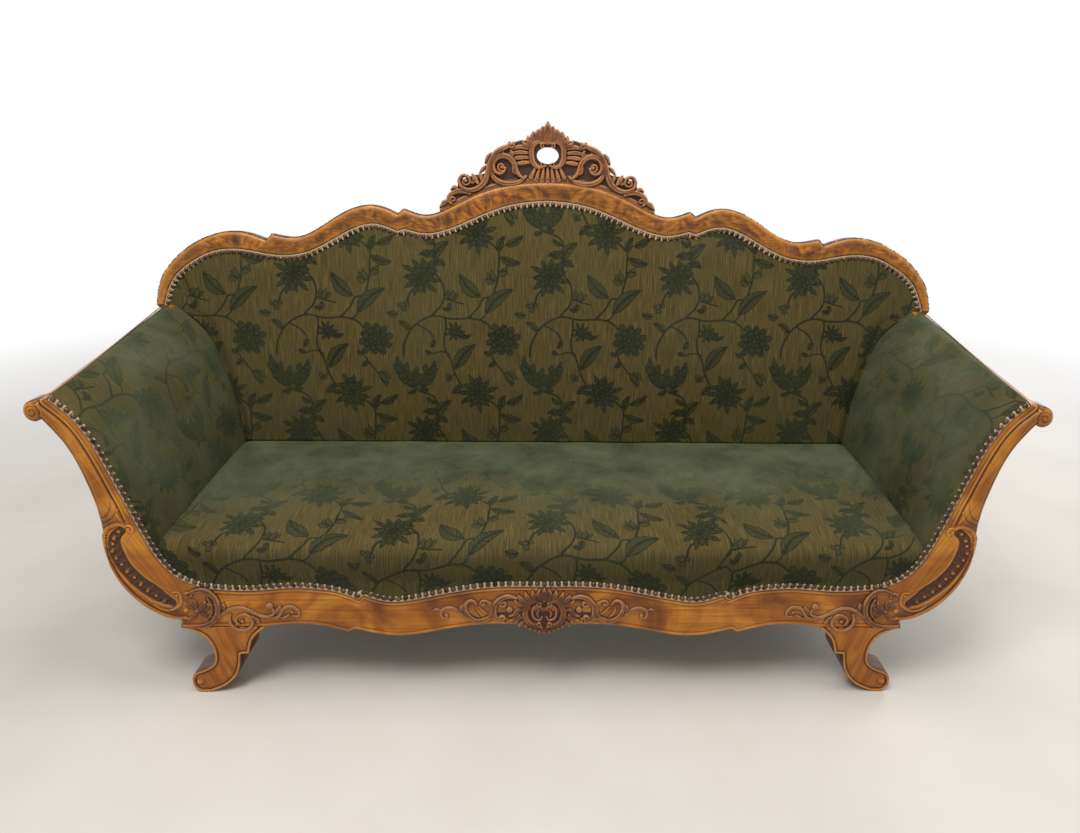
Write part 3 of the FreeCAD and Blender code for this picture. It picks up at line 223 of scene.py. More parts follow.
def loopPiece(name, loops, uv, values=None, split=None, mirror=False, **how):
    # A closed solid from rows of closed loops; each end is closed by triangles between the two parts
    # of the loop, the first part going up one side and the rest coming back down the other.
    rows, columns = loops.shape[:2]
    points = loops.reshape(-1, 3) * ((-1, 1, 1) if mirror else (1, 1, 1))
    split = split or columns // 2
    k = np.arange(split - 1)
    partner = columns - 1 - np.round(np.arange(split) * (columns - split - 1) / (split - 1)).astype(int)
    one = np.stack([k, k + 1, partner[k]], axis=1)
    apart = partner[k] != partner[k + 1]
    two = np.stack([k + 1, partner[k + 1], partner[k]], axis=1)[apart]
    cap = np.concatenate([one, two])
    faces = [quads(rows, columns), cap, cap[:, ::-1] + (rows - 1) * columns]
    return meshPiece(name, points, outward(points, faces), uv, values, **how)


def reliefPiece(name, box, field, cell, deep, seated, mirror=False, turn=0.0, **how):
    # A carved board: a raster of cells where the field says there is wood, its rim drawn onto the outline,
    # the front raised to the field's height, the back flat, and walls between. The field gives the signed
    # distance to the outline, the height and a darkening that is partly stain and partly painted shade. The
    # hollow value is how far the surface lies below its surroundings, plus that darkening: the wood material
    # paints shade with dirt where it is high, and a highlight with wear where it is below nought.
    lowX, highX, lowZ, highZ = box
    nx, nz = int((highX - lowX) / cell) + 3, int((highZ - lowZ) / cell) + 3
    across, up = lowX + cell * (np.arange(nx) - 1), lowZ + cell * (np.arange(nz) - 1)
    x, z = np.meshgrid(across, up, indexing="ij")
    signed = field(x, z)[0]
    gx, gz = np.gradient(signed, cell)
    size = np.maximum(np.hypot(gx, gz), 0.3)
    kept = (signed[:-1, :-1] + signed[1:, :-1] + signed[:-1, 1:] + signed[1:, 1:]) > 0
    rim, used = np.zeros(x.shape, int), np.zeros(x.shape, bool)
    for a, b in ((0, 0), (1, 0), (0, 1), (1, 1)):
        part = (slice(a, nx - 1 + a), slice(b, nz - 1 + b))
        rim[part] += kept
        used[part] |= kept
    edge = used & (rim < 4)
    shift = np.clip(signed / size, -0.9 * cell, 0.9 * cell)
    x = np.where(edge, x - shift * gx / size, x)
    z = np.where(edge, z - shift * gz / size, z)
    _, height, stainAndShade = field(x, z)
    # painted shade in recesses, and a painted highlight on what stands out above its surroundings
    hollow = np.clip((blurred(height, 5) - height) * 0.55 + stainAndShade, -1, 1)
    index = -np.ones(x.shape, int)
    index[used] = np.arange(used.sum())
    count = int(used.sum())
    front = np.stack([x[used], -height[used], z[used]], axis=1)
    back = np.stack([x[used], np.full(count, deep), z[used]], axis=1)
    i, j = np.nonzero(kept)
    cells = np.stack([index[i, j], index[i + 1, j], index[i + 1, j + 1], index[i, j + 1]], axis=1)
    sides = np.concatenate([cells[:, [0, 1]], cells[:, [1, 2]], cells[:, [2, 3]], cells[:, [3, 0]]])
    key = np.sort(sides, axis=1) @ np.array([count, 1])
    _, first, times = np.unique(key, return_index=True, return_counts=True)
    rimSides = sides[first[times == 1]]
    wall = np.stack([rimSides[:, 1], rimSides[:, 0], rimSides[:, 0] + count, rimSides[:, 1] + count], axis=1)
    points = seated(np.concatenate([front, back]))
    c, s = math.cos(turn), math.sin(turn)
    flat = np.concatenate([front[:, [0, 2]], back[:, [0, 2]]])
    uv = np.stack([flat[:, 0] * c + flat[:, 1] * s, flat[:, 1] * c - flat[:, 0] * s], axis=1)
    if mirror:
        points = points * (-1, 1, 1)
    faces = outward(points, [np.concatenate([cells, cells[:, ::-1] + count, wall])])
    values = {"hollow": np.concatenate([hollow[used], np.zeros(count)])}
    return meshPiece(name, points, faces, uv, values, **how)


def outlineField(loop):
    # Distance inside a closed outline, negative outside it.
    def field(x, z):
        gap = nearest(np.concatenate([loop, loop[:1]]), x, z)[0]
        return np.where(inside(loop, x, z), gap, -gap)
    return field


def closeTo(line, x, z, reach):
    # The points within reach of the line's bounds.
    low, high = line.min(axis=0) - reach, line.max(axis=0) + reach
    return (x > low[0]) & (x < high[0]) & (z > low[1]) & (z < high[1])


def strokes(cuts, x, z, height, signed=None):
    # Each cut is a line with half widths along it: the wood rises over it as a rounded ridge, with a groove
    # along its middle if asked. The height is the highest of all cuts, and the signed value is the largest
    # width left over.
    for one in cuts:
        line, wide = np.array(one["line"], float), one["half"]
        reach = max(wide) + (6.0 if signed is not None else 0.5)
        near = closeTo(line, x, z, reach)
        if not near.any():
            continue
        d, s = nearest(line, x[near], z[near])
        w = np.interp(s, np.linspace(0, 1, len(wide)), wide)
        t = np.clip(1 - (d / np.maximum(w, 0.1)) ** 2, 0, 1)
        up = one["base"] + one["rise"] * np.sqrt(t)
        up -= one["groove"] * np.exp(-(d / np.maximum(0.3 * w, 0.1)) ** 2)
        now = height[near]
        height[near] = np.where(d < w, np.maximum(now, up), now)
        if signed is not None:
            signed[near] = np.maximum(signed[near], w - d)
    return height


def stroke(line, half, rise, groove=0.0, base=0.0):
    return {"line": line, "half": np.atleast_1d(half), "rise": rise, "groove": groove, "base": base}


def cut(points, half, rise, groove=0.0, base=0.0):
    return stroke(smooth(points, 2.5), half, rise, groove, base)


def curl(centre, radius, start, turns, half, rise):
    return stroke(spiral(centre, radius, start, turns), half, rise)


def dot(centre):
    # A line so short that what is drawn along it is round.
    return np.array([centre, (centre[0] + 0.1, centre[1])], float)


def boss(centre, radius, rise, base=0.0):
    return stroke(dot(centre), radius, rise, base=base)


def mirrored(cuts):
    return [dict(one, line=one["line"] * (-1, 1)) for one in cuts]


def onFront(points):
    # From the flat front frame (x, depth, z) to the plane of the facings.
    return points + (0.0, body["frontY"], 0.0)


# materials

def fill(tree, sockets, key, value):
    # Another node's output is linked to the socket; anything else is set on it.
    if isinstance(value, bpy.types.NodeSocket):
        tree.links.new(value, sockets[key])
    else:
        sockets[key].default_value = value


def node(tree, kind, values=None, **settings):
    made = tree.nodes.new("ShaderNode" + kind)
    for key, value in settings.items():
        setattr(made, key, value)
    for key, value in (values or {}).items():
        fill(tree, made.inputs, key, value)
    return made


def linear(red, green, blue):
    # A colour written as on a screen, from 0 to 255, turned into light.
    c = np.array([red, green, blue]) / 255.0
    c = np.where(c <= 0.04045, c / 12.92, ((c + 0.055) / 1.055) ** 2.4)
    return (float(c[0]), float(c[1]), float(c[2]), 1.0)


def newMaterial(name):
    material = bpy.data.materials.new(name)
    material.use_nodes = True
    tree = material.node_tree
    tree.nodes.clear()
    shader = node(tree, "BsdfPrincipled")
    node(tree, "OutputMaterial", {"Surface": shader.outputs[0]})
    return material, tree, shader


def mapped(tree, ownMap, scale=(1, 1, 1)):
    # Where the pattern is read: the piece's own UV map, or its Object coordinates.
    source = node(tree, "UVMap").outputs[0] if ownMap else node(tree, "TexCoord").outputs["Object"]
    return node(tree, "Mapping", {"Vector": source, "Scale": scale}).outputs[0]


def noise(tree, where, scale, detail=3.0, rough=0.55, warp=0.0):
    return node(tree, "TexNoise", {"Vector": where, "Scale": scale, "Detail": detail, "Roughness": rough,
                                   "Distortion": warp}).outputs[0]


def ramp(tree, value, stops):
    made = node(tree, "ValToRGB", {"Fac": value})
    line = made.color_ramp
    for _ in range(len(stops) - 2):
        line.elements.new(0.5)
    for element, (at, _) in zip(line.elements, stops):
        element.position = at
    for element, (_, colour) in zip(line.elements, stops):
        element.color = colour
    return made.outputs[0]


def pointValue(tree, name):
    return node(tree, "Attribute", attribute_name=name).outputs["Fac"]


def finished(tree, shader, **inputs):
    # Sets or links the shader's inputs, under short names.
    names = {"color": "Base Color", "rough": "Roughness", "shine": "Specular IOR Level",
             "coat": "Coat Weight", "coatRough": "Coat Roughness", "metal": "Metallic",
             "sheen": "Sheen Weight", "sheenRough": "Sheen Roughness", "sheenTint": "Sheen Tint"}
    for key, value in inputs.items():
        fill(tree, shader.inputs, names[key], value)


def mixed(tree, share, a, b):
    return node(tree, "Mix", {0: share, 6: a, 7: b}, data_type="RGBA").outputs[2]


def between(tree, value, low, high, toLow=0.0, toHigh=1.0):
    return node(tree, "MapRange", {0: value, 1: low, 2: high, 3: toLow, 4: toHigh}).outputs[0]


def sums(tree, operation, a, b=0.0):
    return node(tree, "Math", {0: a, 1: b}, operation=operation).outputs[0]


def bump(tree, shader, height, distance, strength=1.0):
    made = node(tree, "Bump", {"Height": height, "Distance": distance, "Strength": strength})
    tree.links.new(made.outputs[0], shader.inputs["Normal"])


def woodMaterial(name, look, ownMap=True, hollow=True):
    # Long fibres are noise stretched along the grain; figure is broad warped noise; hollows get dark wax
    # and painted shade, and what stands out gets pale wear and a painted highlight.
    material, tree, shader = newMaterial(name)
    along, across = look["grain"]
    fibre = noise(tree, mapped(tree, ownMap, (along, across, across)), 1.0, 5.0, 0.62, look["warp"])
    broad = noise(tree, mapped(tree, ownMap), look["figureScale"], 3.0, 0.5, look["figureWarp"])
    base = ramp(tree, broad, [(0.34, look["dark"]), (0.5, look["mid"]), (0.66, look["light"])])
    streak = ramp(tree, fibre, [(0.36, (1, 1, 1, 1)), (0.58, (0, 0, 0, 1))])
    colour = mixed(tree, sums(tree, "MULTIPLY", streak, look["streak"]), base, look["vein"])
    if hollow:
        # painted shade with dirt in the hollows, then a painted highlight with wear on what stands out
        depth = pointValue(tree, "hollow")
        colour = mixed(tree, between(tree, depth, 0.02, 0.7, 0.0, look["waxAndShade"]), colour, look["dirtAndShade"])
        colour = mixed(tree, between(tree, depth, -0.03, -0.6, 0.0, 0.6), colour, look["wearAndHighlight"])
    rough = between(tree, broad, 0.3, 0.7, look["rough"] + 0.07, look["rough"] - 0.05)
    finished(tree, shader, color=colour, rough=rough, shine=look["shine"], coat=look["coat"], coatRough=0.22)
    bump(tree, shader, fibre, 0.0004, 0.35)
    return material


# The grain is the fibres' scale along and across; the colours run from shade to light.
# the hollow colour is painted shade with dirt, and the raised colour a painted highlight with wear
goldenLook = {"grain": (6.0, 160.0), "warp": 0.5, "figureScale": 5.5, "figureWarp": 1.6, "streak": 0.45,
              "dark": linear(112, 58, 8), "mid": linear(168, 98, 15), "light": linear(204, 134, 34),
              "vein": linear(92, 46, 10), "waxAndShade": 0.92, "dirtAndShade": linear(62, 29, 10),
              "wearAndHighlight": linear(204, 140, 58), "rough": 0.34, "coat": 0.06, "shine": 0.34}
burrLook = dict(goldenLook, grain=(14.0, 60.0), warp=2.6, figureScale=10.0, figureWarp=4.2, streak=0.7,
                dark=linear(72, 36, 8), mid=linear(144, 82, 16), light=linear(186, 118, 30),
                vein=linear(54, 26, 8))
carvedLook = dict(goldenLook, figureScale=20.0, streak=0.3, dark=linear(82, 43, 16), mid=linear(114, 64, 27),
                  light=linear(140, 84, 40), vein=linear(70, 34, 14), dirtAndShade=linear(56, 29, 15), waxAndShade=1.0,
                  wearAndHighlight=linear(188, 132, 84), rough=0.4, coat=0.08)
stainedLook = dict(goldenLook, grain=(80.0, 6.0), dark=linear(92, 54, 22), mid=linear(114, 68, 28),
                   light=linear(130, 82, 38), rough=0.5, coat=0.05)
rawLook = dict(stainedLook, grain=(8.0, 90.0), dark=linear(168, 130, 84), mid=linear(188, 152, 104),
               light=linear(204, 172, 126), vein=linear(144, 106, 66), streak=0.3, rough=0.75, coat=0.0)
goldenWood = woodMaterial("goldenWalnut", goldenLook)
burrWood = woodMaterial("burrWalnut", burrLook)
carvedWood = woodMaterial("carvedWalnut", carvedLook)
goldenFrame = woodMaterial("goldenWalnutFrame", goldenLook, False, False)
stainedWood = woodMaterial("stainedBeech", stainedLook, False, False)
rawWood = woodMaterial("frameBeech", rawLook, False, False)


def clothMaterial(name, look):
    # A plain weave: two crossed waves make threads, noise varies them.
    material, tree, shader = newMaterial(name)
    where = mapped(tree, False)
    wave = {"Vector": where, "Scale": look["threads"], "Distortion": 1.5, "Detail": 2.0}
    bands = [node(tree, "TexWave", wave, bands_direction=way).outputs[1] for way in ("X", "Z", "Y")]
    weave = sums(tree, "MULTIPLY", sums(tree, "ADD", bands[0], bands[2]), bands[1])
    colour = mixed(tree, noise(tree, where, 9.0, 4.0), look["dark"], look["light"])
    colour = mixed(tree, between(tree, weave, 0.2, 1.2, 0.35, 0.0), colour, look["gap"])
    finished(tree, shader, color=colour, rough=0.92, shine=0.2)
    bump(tree, shader, weave, 0.0006, 0.5)
    return material


juteLook = {"threads": 160.0, "dark": linear(150, 120, 78), "light": linear(182, 152, 106),
            "gap": linear(96, 72, 42)}
hessianLook = {"threads": 120.0, "dark": linear(140, 112, 72), "light": linear(168, 140, 96),
               "gap": linear(80, 60, 36)}
liningLook = {"threads": 260.0, "dark": linear(56, 60, 40), "light": linear(76, 78, 52),
              "gap": linear(34, 36, 24)}
jute = clothMaterial("juteWebbing", juteLook)
hessian = clothMaterial("hessianCloth", hessianLook)
lining = clothMaterial("liningCloth", liningLook)


def metalMaterial(name, dark, light, rough):
    # Noise mixes the two colours, and the darker patches are the rougher ones.
    material, tree, shader = newMaterial(name)
    where = mapped(tree, False)
    patch = noise(tree, where, 60.0, 4.0)
    finished(tree, shader, color=mixed(tree, between(tree, patch, 0.35, 0.65), dark, light),
             rough=between(tree, patch, 0.3, 0.7, rough + 0.12, rough - 0.08), metal=1.0)
    bump(tree, shader, noise(tree, where, 900.0), 0.0001, 0.4)
    return material


springSteel = metalMaterial("springSteel", linear(112, 104, 94), linear(160, 154, 146), 0.42)
screwSteel = metalMaterial("screwSteel", linear(140, 138, 132), linear(186, 184, 178), 0.34)
nailBrass = metalMaterial("antiqueBrass", linear(58, 44, 32), linear(118, 94, 66), 0.34)


def jacquardMaterial(look):
    # Ground and figure are mixed by the piece's own figure value, in millimetres from the figure's edge;
    # upright streaks, the painted sheen of the nap and patches of wear in the sheen's colour come from noise.
    material, tree, shader = newMaterial("jacquard")
    where, sheenAndShade = mapped(tree, True), pointValue(tree, "sheenAndShade")
    ragged = noise(tree, mapped(tree, True, (900.0, 500.0, 1.0)), 1.0, 2.0)
    shape = sums(tree, "ADD", pointValue(tree, "figure"), between(tree, ragged, 0.3, 0.7, -0.7, 0.7))
    mask = between(tree, shape, -0.35, 0.75)
    streak = noise(tree, mapped(tree, True, (420.0, 16.0, 1.0)), 1.0, 4.0, 0.7)
    slub = noise(tree, mapped(tree, True, (900.0, 60.0, 1.0)), 1.0, 2.0, 0.7)
    ground = ramp(tree, streak, [(0.34, look["groundDark"]), (0.5, look["ground"]),
                                 (0.66, look["groundLight"])])
    ground = mixed(tree, between(tree, slub, 0.55, 0.75, 0.0, 0.35), ground, look["groundLight"])
    speck = noise(tree, mapped(tree, True, (260.0, 420.0, 1.0)), 1.0, 3.0, 0.7)
    inner = mixed(tree, between(tree, speck, 0.36, 0.64), look["figureLight"], look["figure"])
    petal = mixed(tree, between(tree, speck, 0.36, 0.64), look["bloomLight"], look["bloom"])
    inner = mixed(tree, pointValue(tree, "bloom"), inner, petal)
    edge = between(tree, shape, look["line"], look["line"] + 0.9, 1.0, 0.0)
    colour = mixed(tree, mask, ground, mixed(tree, edge, inner, look["outline"]))
    napSheen = mixed(tree, between(tree, noise(tree, where, 7.0, 4.0, 0.6), 0.34, 0.64), look["napSheenDark"],
                look["napSheen"])
    # A value below nought is painted shade on the cloth; above it, the painted sheen of pile lying to the light
    # hides most of the pattern.
    colour = mixed(tree, between(tree, sheenAndShade, 0.0, -1.0, 0.0, 0.42), colour, look["outline"])
    colour = mixed(tree, between(tree, sheenAndShade, 0.0, 1.0, 0.0, 0.86), colour, napSheen)
    cloudy = noise(tree, where, 3.2, 5.0, 0.62)
    colour = mixed(tree, between(tree, cloudy, 0.35, 0.7, 0.0, 0.22), colour, look["napSheen"])
    finished(tree, shader, color=colour, rough=0.9, shine=0.15, sheen=0.1, sheenRough=0.45,
             sheenTint=look["sheen"])
    bump(tree, shader, sums(tree, "ADD", slub, sums(tree, "MULTIPLY", mask, 0.5)), 0.0009, 0.55)
    return material


# the two nap colours are the painted sheen of the pile, and the outline colour also serves as painted shade
jacquard = jacquardMaterial({"ground": linear(80, 69, 35), "groundDark": linear(55, 50, 25),
                             "groundLight": linear(106, 89, 49), "figure": linear(42, 45, 27),
                             "figureLight": linear(74, 68, 37), "bloom": linear(34, 39, 25),
                             "bloomLight": linear(58, 57, 34), "outline": linear(22, 27, 17), "line": 1.4,
                             "napSheen": linear(84, 91, 67), "napSheenDark": linear(50, 57, 41),
                             "sheen": linear(150, 158, 112)})


def braidMaterial(look):
    # Pale gimp: cords of fine slanting ribs, and beyond them bright bars with a shadow round each nail head.
    material, tree, shader = newMaterial("gimpBraid")
    where = mapped(tree, True)
    wave = {"Vector": where, "Scale": 190.0, "Distortion": 0.6}
    ribs = node(tree, "TexWave", wave, bands_direction="DIAGONAL").outputs[1]
    cord = mixed(tree, noise(tree, where, 26.0, 3.0), look["cordDark"], look["cord"])
    cord = mixed(tree, between(tree, ribs, 0.15, 0.7, 0.3, 0.0), cord, look["gap"])
    axes = node(tree, "SeparateXYZ", {0: where})
    turns = sums(tree, "MULTIPLY", axes.outputs["X"], 2 * math.pi / look["pitch"])
    bars = mixed(tree, between(tree, sums(tree, "COSINE", turns), 0.4, 0.9), look["gap"], look["bar"])
    colour = mixed(tree, between(tree, axes.outputs["Y"], look["web"], look["web"] + 0.0012), cord, bars)
    finished(tree, shader, color=colour, rough=0.8)
    bump(tree, shader, ribs, 0.0006, 0.6)
    return material


gimp = braidMaterial({"pitch": 0.0156, "web": 0.0050, "cord": linear(206, 180, 154),
                      "cordDark": linear(170, 140, 114), "bar": linear(196, 174, 146),
                      "gap": linear(78, 64, 46)})
print("materials made")

# carried-over CAD nodes keep their shape and get their finish

sides = ("left", "right")
hands = (("right", False), ("left", True))
finishes = [
    (rawWood, ["seat_ledger", "seat_cross_rails", "corner_blocks", "lower_back_rail", "back_uprights",
               "seat_frame_dowels", "back_frame_dowels", "carving_dowels",
               *[side + "_side_seat_rail" for side in sides], *[side + "_arm_lower_rail" for side in sides]]),
    (stainedWood, ["rear_seat_rail", *[side + "_rear_post" for side in sides]]),
    (goldenFrame, [side + "_arm_top_rail" for side in sides]),
    (screwSteel, ["corner_block_screws"]),
    (jute, ["seat_webbing", "back_webbing", *[side + "_arm_webbing" for side in sides]]),
    (hessian, ["spring_hessian"]),
    (lining, ["dust_cover", "outside_back_cover", *[side + "_outside_arm_cover" for side in sides]])]
for finish, names in finishes:
    for name in names:
        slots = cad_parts[name].data.materials
        slots.clear()
        slots.append(finish)

# outlines

showStretches = [
    [(0, 280), (99.75, 280), (200.25, 266.7), (300, 245.04), (350.25, 242), (402, 258.34)],
    [(402, 258.34), (413.25, 246.56)],
    [(413.25, 246.56), (450, 263.66), (500.25, 273.92), (549.75, 276.96), (650.25, 269.74), (750, 275.44)],
    [(750, 275.44), (806.12, 302.97), (844.86, 356.77), (872, 429.94), (897.93, 514.94), (925.07, 599.94),
     (963.5, 676.34), (1000.1, 714)]]
lowStretches = [
    [(0, 178), (150, 180.7), (249.75, 163.15), (330, 151.54), (426.75, 169.9)],
    [(426.75, 169.9), (443.25, 161.8)],
    [(443.25, 161.8), (500.25, 178), (549.75, 183.13), (628, 176)],
    [(628, 176), (750, 176)]]
crestTopStretches = [
    [(0, 664), (99.5, 655.7), (200.2, 625.5), (270, 591.2), (319.8, 576.1), (382.3, 591.2)],
    [(382.3, 591.2), (398.2, 578.1)],
    [(398.2, 578.1), (455.4, 599.3), (520, 589.2), (600.5, 543.9), (665.1, 515.7), (734.9, 522.7)],
    [(734.9, 522.7), (749.8, 507.6)],
    [(749.8, 507.6), (819.7, 527.9), (900.2, 515.7), (955.2, 488.5), (999.7, 453.2), (1043.1, 394.8),
     (1059, 332)]]
crestShowStretches = [
    [(0, 615.3), (99.5, 603.2), (200.2, 566), (279.6, 534.8), (319.8, 527.7), (380.2, 538.8)],
    [(380.2, 538.8), (400.3, 532.7)],
    [(400.3, 532.7), (459.6, 551.1), (549.6, 522.7), (650.2, 474.3), (730.7, 467.5), (819.7, 481.4),
     (900.2, 473.3), (949.9, 449.1), (1003.9, 405), (1037.8, 332)]]
armOuterPoints = [(811.9, 192.1), (869.9, 222.3), (919.9, 278.2), (944.9, 355.2), (947, 449.8),
                  (960.1, 534.8), (987.9, 619.9), (1022.1, 672)]

railShow = joined(showStretches[:3], 3.0)
armShow = joined(showStretches[3:], 2.5)
frontShow = joined(showStretches, 3.0)
frontLow = joined(lowStretches, 3.0)
crestTop = joined(crestTopStretches, 3.0)
crestShow = joined(crestShowStretches, 3.0)


def heightOn(line, x):
    # The height of a right-hand line at each x, the same on both sides.
    return np.interp(np.abs(x), line[:, 0], line[:, 1])


def rib(d, middle, half, rise):
    # A rounded bead: a half ellipse over its width.
    t = np.clip(1 - ((d - middle) / half) ** 2, 0, 1)
    return rise * np.sqrt(t)


def dip(d, low, high, deep):
    # A cove: a smooth hollow between two distances.
    t = np.clip((d - low) / (high - low), 0, 1)
    return -deep * np.sin(math.pi * t)


def eased(d, low, high):
    # From nought at low to one at high, with level ends.
    t = np.clip((d - low) / (high - low), 0, 1)
    return t * t * (3 - 2 * t)


# front rail

railLook = {"thick": 45.0, "topZ": 300.0, "end": 750.0, "step": 4.0, "fine": 1.5, "teeth": (400, 446),
            "beadAt": 5.5, "beadHalf": 2.2, "beadRise": 1.6, "footBead": 1.8, "belly": 2.5, "sunk": 1.8,
            "down": (0, 0.6, 1.6, 2.6, 3.4, 4.2, 5.5, 6.8, 7.7, 8.6, 10, 13, 18, 26, 36),
            "up": (44, 36, 28, 20, 14, 10.5, 8.5, 7, 5.5, 4.2, 3, 2, 1.2, 0.5, 0)}


def makeFrontRail():
    # A profile from the nail line down to the lower edge, carried along the rail: beads, coves and a swell.
    end, thick = railLook["end"], railLook["thick"]
    teeth = [side * np.arange(*railLook["teeth"], railLook["fine"]) for side in (-1, 1)]
    xs = np.unique(np.concatenate([np.arange(2 - end, end - 1, railLook["step"]), [-end, end], *teeth]))
    top, low = heightOn(railShow, xs), heightOn(frontLow, xs)
    down, up = np.array(railLook["down"]), np.array(railLook["up"])
    tall = (top - low)[:, None]
    z = np.concatenate([top[:, None] - down, low[:, None] + up * np.minimum(1, (tall - 38) / 46)], axis=1)
    fromTop, fromLow = top[:, None] - z, z - low[:, None]
    height = (rib(fromTop, railLook["beadAt"], railLook["beadHalf"], railLook["beadRise"])
              - 1.2 * (1 - eased(fromTop, 0, 2.0))
              + rib(fromLow, 5.5, 3.2, railLook["footBead"]) + dip(fromLow, 8.5, 14.0, 0.9)
              + railLook["belly"] * 4 * (fromTop / tall) * (fromLow / tall) - railLook["sunk"]
              - 3.2 * (1 - eased(fromLow, 0, 3.4)))
    # painted shade, with dirt, in the coves and just under the braid; a painted highlight, with wear, on the two
    # beads
    hollow = (dip(fromTop, 7.4, 10.5, -0.5) + dip(fromTop, 0, 3.4, -0.5) + dip(fromLow, 8.5, 13.5, -0.5)
              - 0.25 * rib(fromLow, 5.5, 3, 1) - 0.25 * rib(fromTop, 5.5, 2.2, 1))
    rear, seat = body["frontY"] + thick, body["frontY"] + body["rebate"]
    # lower rear edge, back, top and rebate, after the face
    tail = [(rear - 2.0, low), (rear, low + 2.0), (rear, np.full(len(xs), railLook["topZ"])),
            (seat, np.full(len(xs), railLook["topZ"]))]
    tail = np.stack([np.stack([xs, np.full(len(xs), y), level], axis=1) for y, level in tail], axis=1)
    head = np.stack([xs, np.full(len(xs), seat), top + 0.01], axis=1)[:, None]
    face = np.stack([np.repeat(xs[:, None], z.shape[1], 1), body["frontY"] - height, z], axis=2)
    loops = np.concatenate([head, face, tail], axis=1)
    values = np.zeros(loops.shape[:2])
    values[:, 1:1 + z.shape[1]] = hollow
    uv = np.stack([loops[:, :, 0], loops[:, :, 2] + loops[:, :, 1]], axis=2)
    return loopPiece("frontRail", loops, uv, {"hollow": values}, z.shape[1] + 1, material=goldenWood,
                     slot="golden_walnut", replaced=["front_rail"])


makeFrontRail()
print("front rail made")

# arm facings

facingLook = {"box": (750, 1056, 176, 724), "thick": 45.0, "cell": 1.7, "bead": 12.5, "tongue": 19.0,
              "scroll": (1036, 686), "scrollR": 19.0, "eye": (1035, 689), "eyeR": 15.0, "grain": 62}


def outerRun():
    # The facing's outer line: joint, tooth, belly, and round the scroll to its shoulder.
    (cx, cz), r = facingLook["scroll"], facingLook["scrollR"]
    a = np.radians(np.linspace(-105, 105, 26))
    eye = np.stack([cx + r * np.cos(a), cz + r * np.sin(a)], axis=1)
    eye[:, 1] += np.clip(a, 0, 2) * 4.0
    return np.concatenate([np.array([(750, 176), (815, 176)]), smooth(armOuterPoints, 3.0), eye,
                           np.array([(1020.8, 715.5)])])


facingLoop = np.concatenate([outerRun(), armShow[::-1], np.array([(750, 176.0)])])
facingOutline = outlineField(facingLoop)
outerLine = outerRun()[2:]
bellyFrame = smooth([(895, 431), (906, 436), (917, 434), (932, 426), (943, 410), (948, 388), (949, 360),
                     (943, 330), (935, 304), (921, 279), (900, 250), (874, 228), (848, 212), (822, 203),
                     (800, 203)], 2.5)
bellyInner = smooth([(880, 418), (893, 405), (901, 393), (904, 376), (900, 350), (887, 325), (866, 300),
                     (845, 285), (826, 274)], 2.5)
bellyPearls = [(911, 418), (923, 402), (930, 387), (932, 371), (928, 353), (919, 337), (909, 321), (898, 304),
               (886, 287), (873, 272), (858, 258), (841, 246)]
channel = {"line": smooth([(905, 420), (921, 404), (925, 380), (920, 350), (908, 324), (891, 299), (869, 275),
                           (846, 254), (826, 241)], 3.0),
           "at": (0, 0.25, 0.6, 0.85, 1), "wide": (11, 17, 21, 20, 12), "deep": 5.0}
# two U-shaped grooves at the carved lower end of the arm's panel, each with its depth
panelGrooves = [(smooth([(905, 484), (911, 460), (926, 445), (948, 437)], 3.0), 1.8),
                (smooth([(914, 496), (920, 470), (934, 453), (948, 448)], 3.0), 1.6)]


def bellyStrokes():
    # The scroll frame of the belly, its inner line, and a row of pearls with a leaf on each side.
    made = [stroke(bellyFrame, (4.5, 5, 5.5, 5, 4.5), 5.5, 1.0, -0.5),
            stroke(bellyInner, (2.4, 2.6, 2.2), 2.6),
            curl((887, 424), 9, 60, 1.2, (3.2, 2.4), 4.5), boss((887, 424), 3.2, 5.0),
            cut([(804, 258), (805, 242), (816, 229), (836, 222), (852, 226), (864, 236)], (3, 3.2, 2.4), 4.0),
            cut([(803, 256), (808, 268), (820, 268)], (3, 3, 2), 4.0), boss((811, 261), 4.0, 4.5),
            boss((797, 222), 6.5, 5.0)]
    for number, (x, z) in enumerate(bellyPearls):
        way = 2.5 * math.sin(2.4 * number)
        right = [(x + 1, z + 2), (x + 7, z + 5 + way), (x + 14 + way, z + 2 - way)]
        left = [(x - 2, z + 2), (x - 8 - way, z + 6 - way), (x - 12, z + 12 + way)]
        made += [boss((x + 0.5 * way, z - 0.4 * way), 5.0 + 0.35 * way, 5.2, -2.6),
                 cut(right, (3.4, 4.6, 1.2), 3.4, 0.9, -3.4), cut(left, (3.0, 4.2, 0.8), 3.2, 0.9, -3.6)]
    return made


bellyCuts = bellyStrokes()


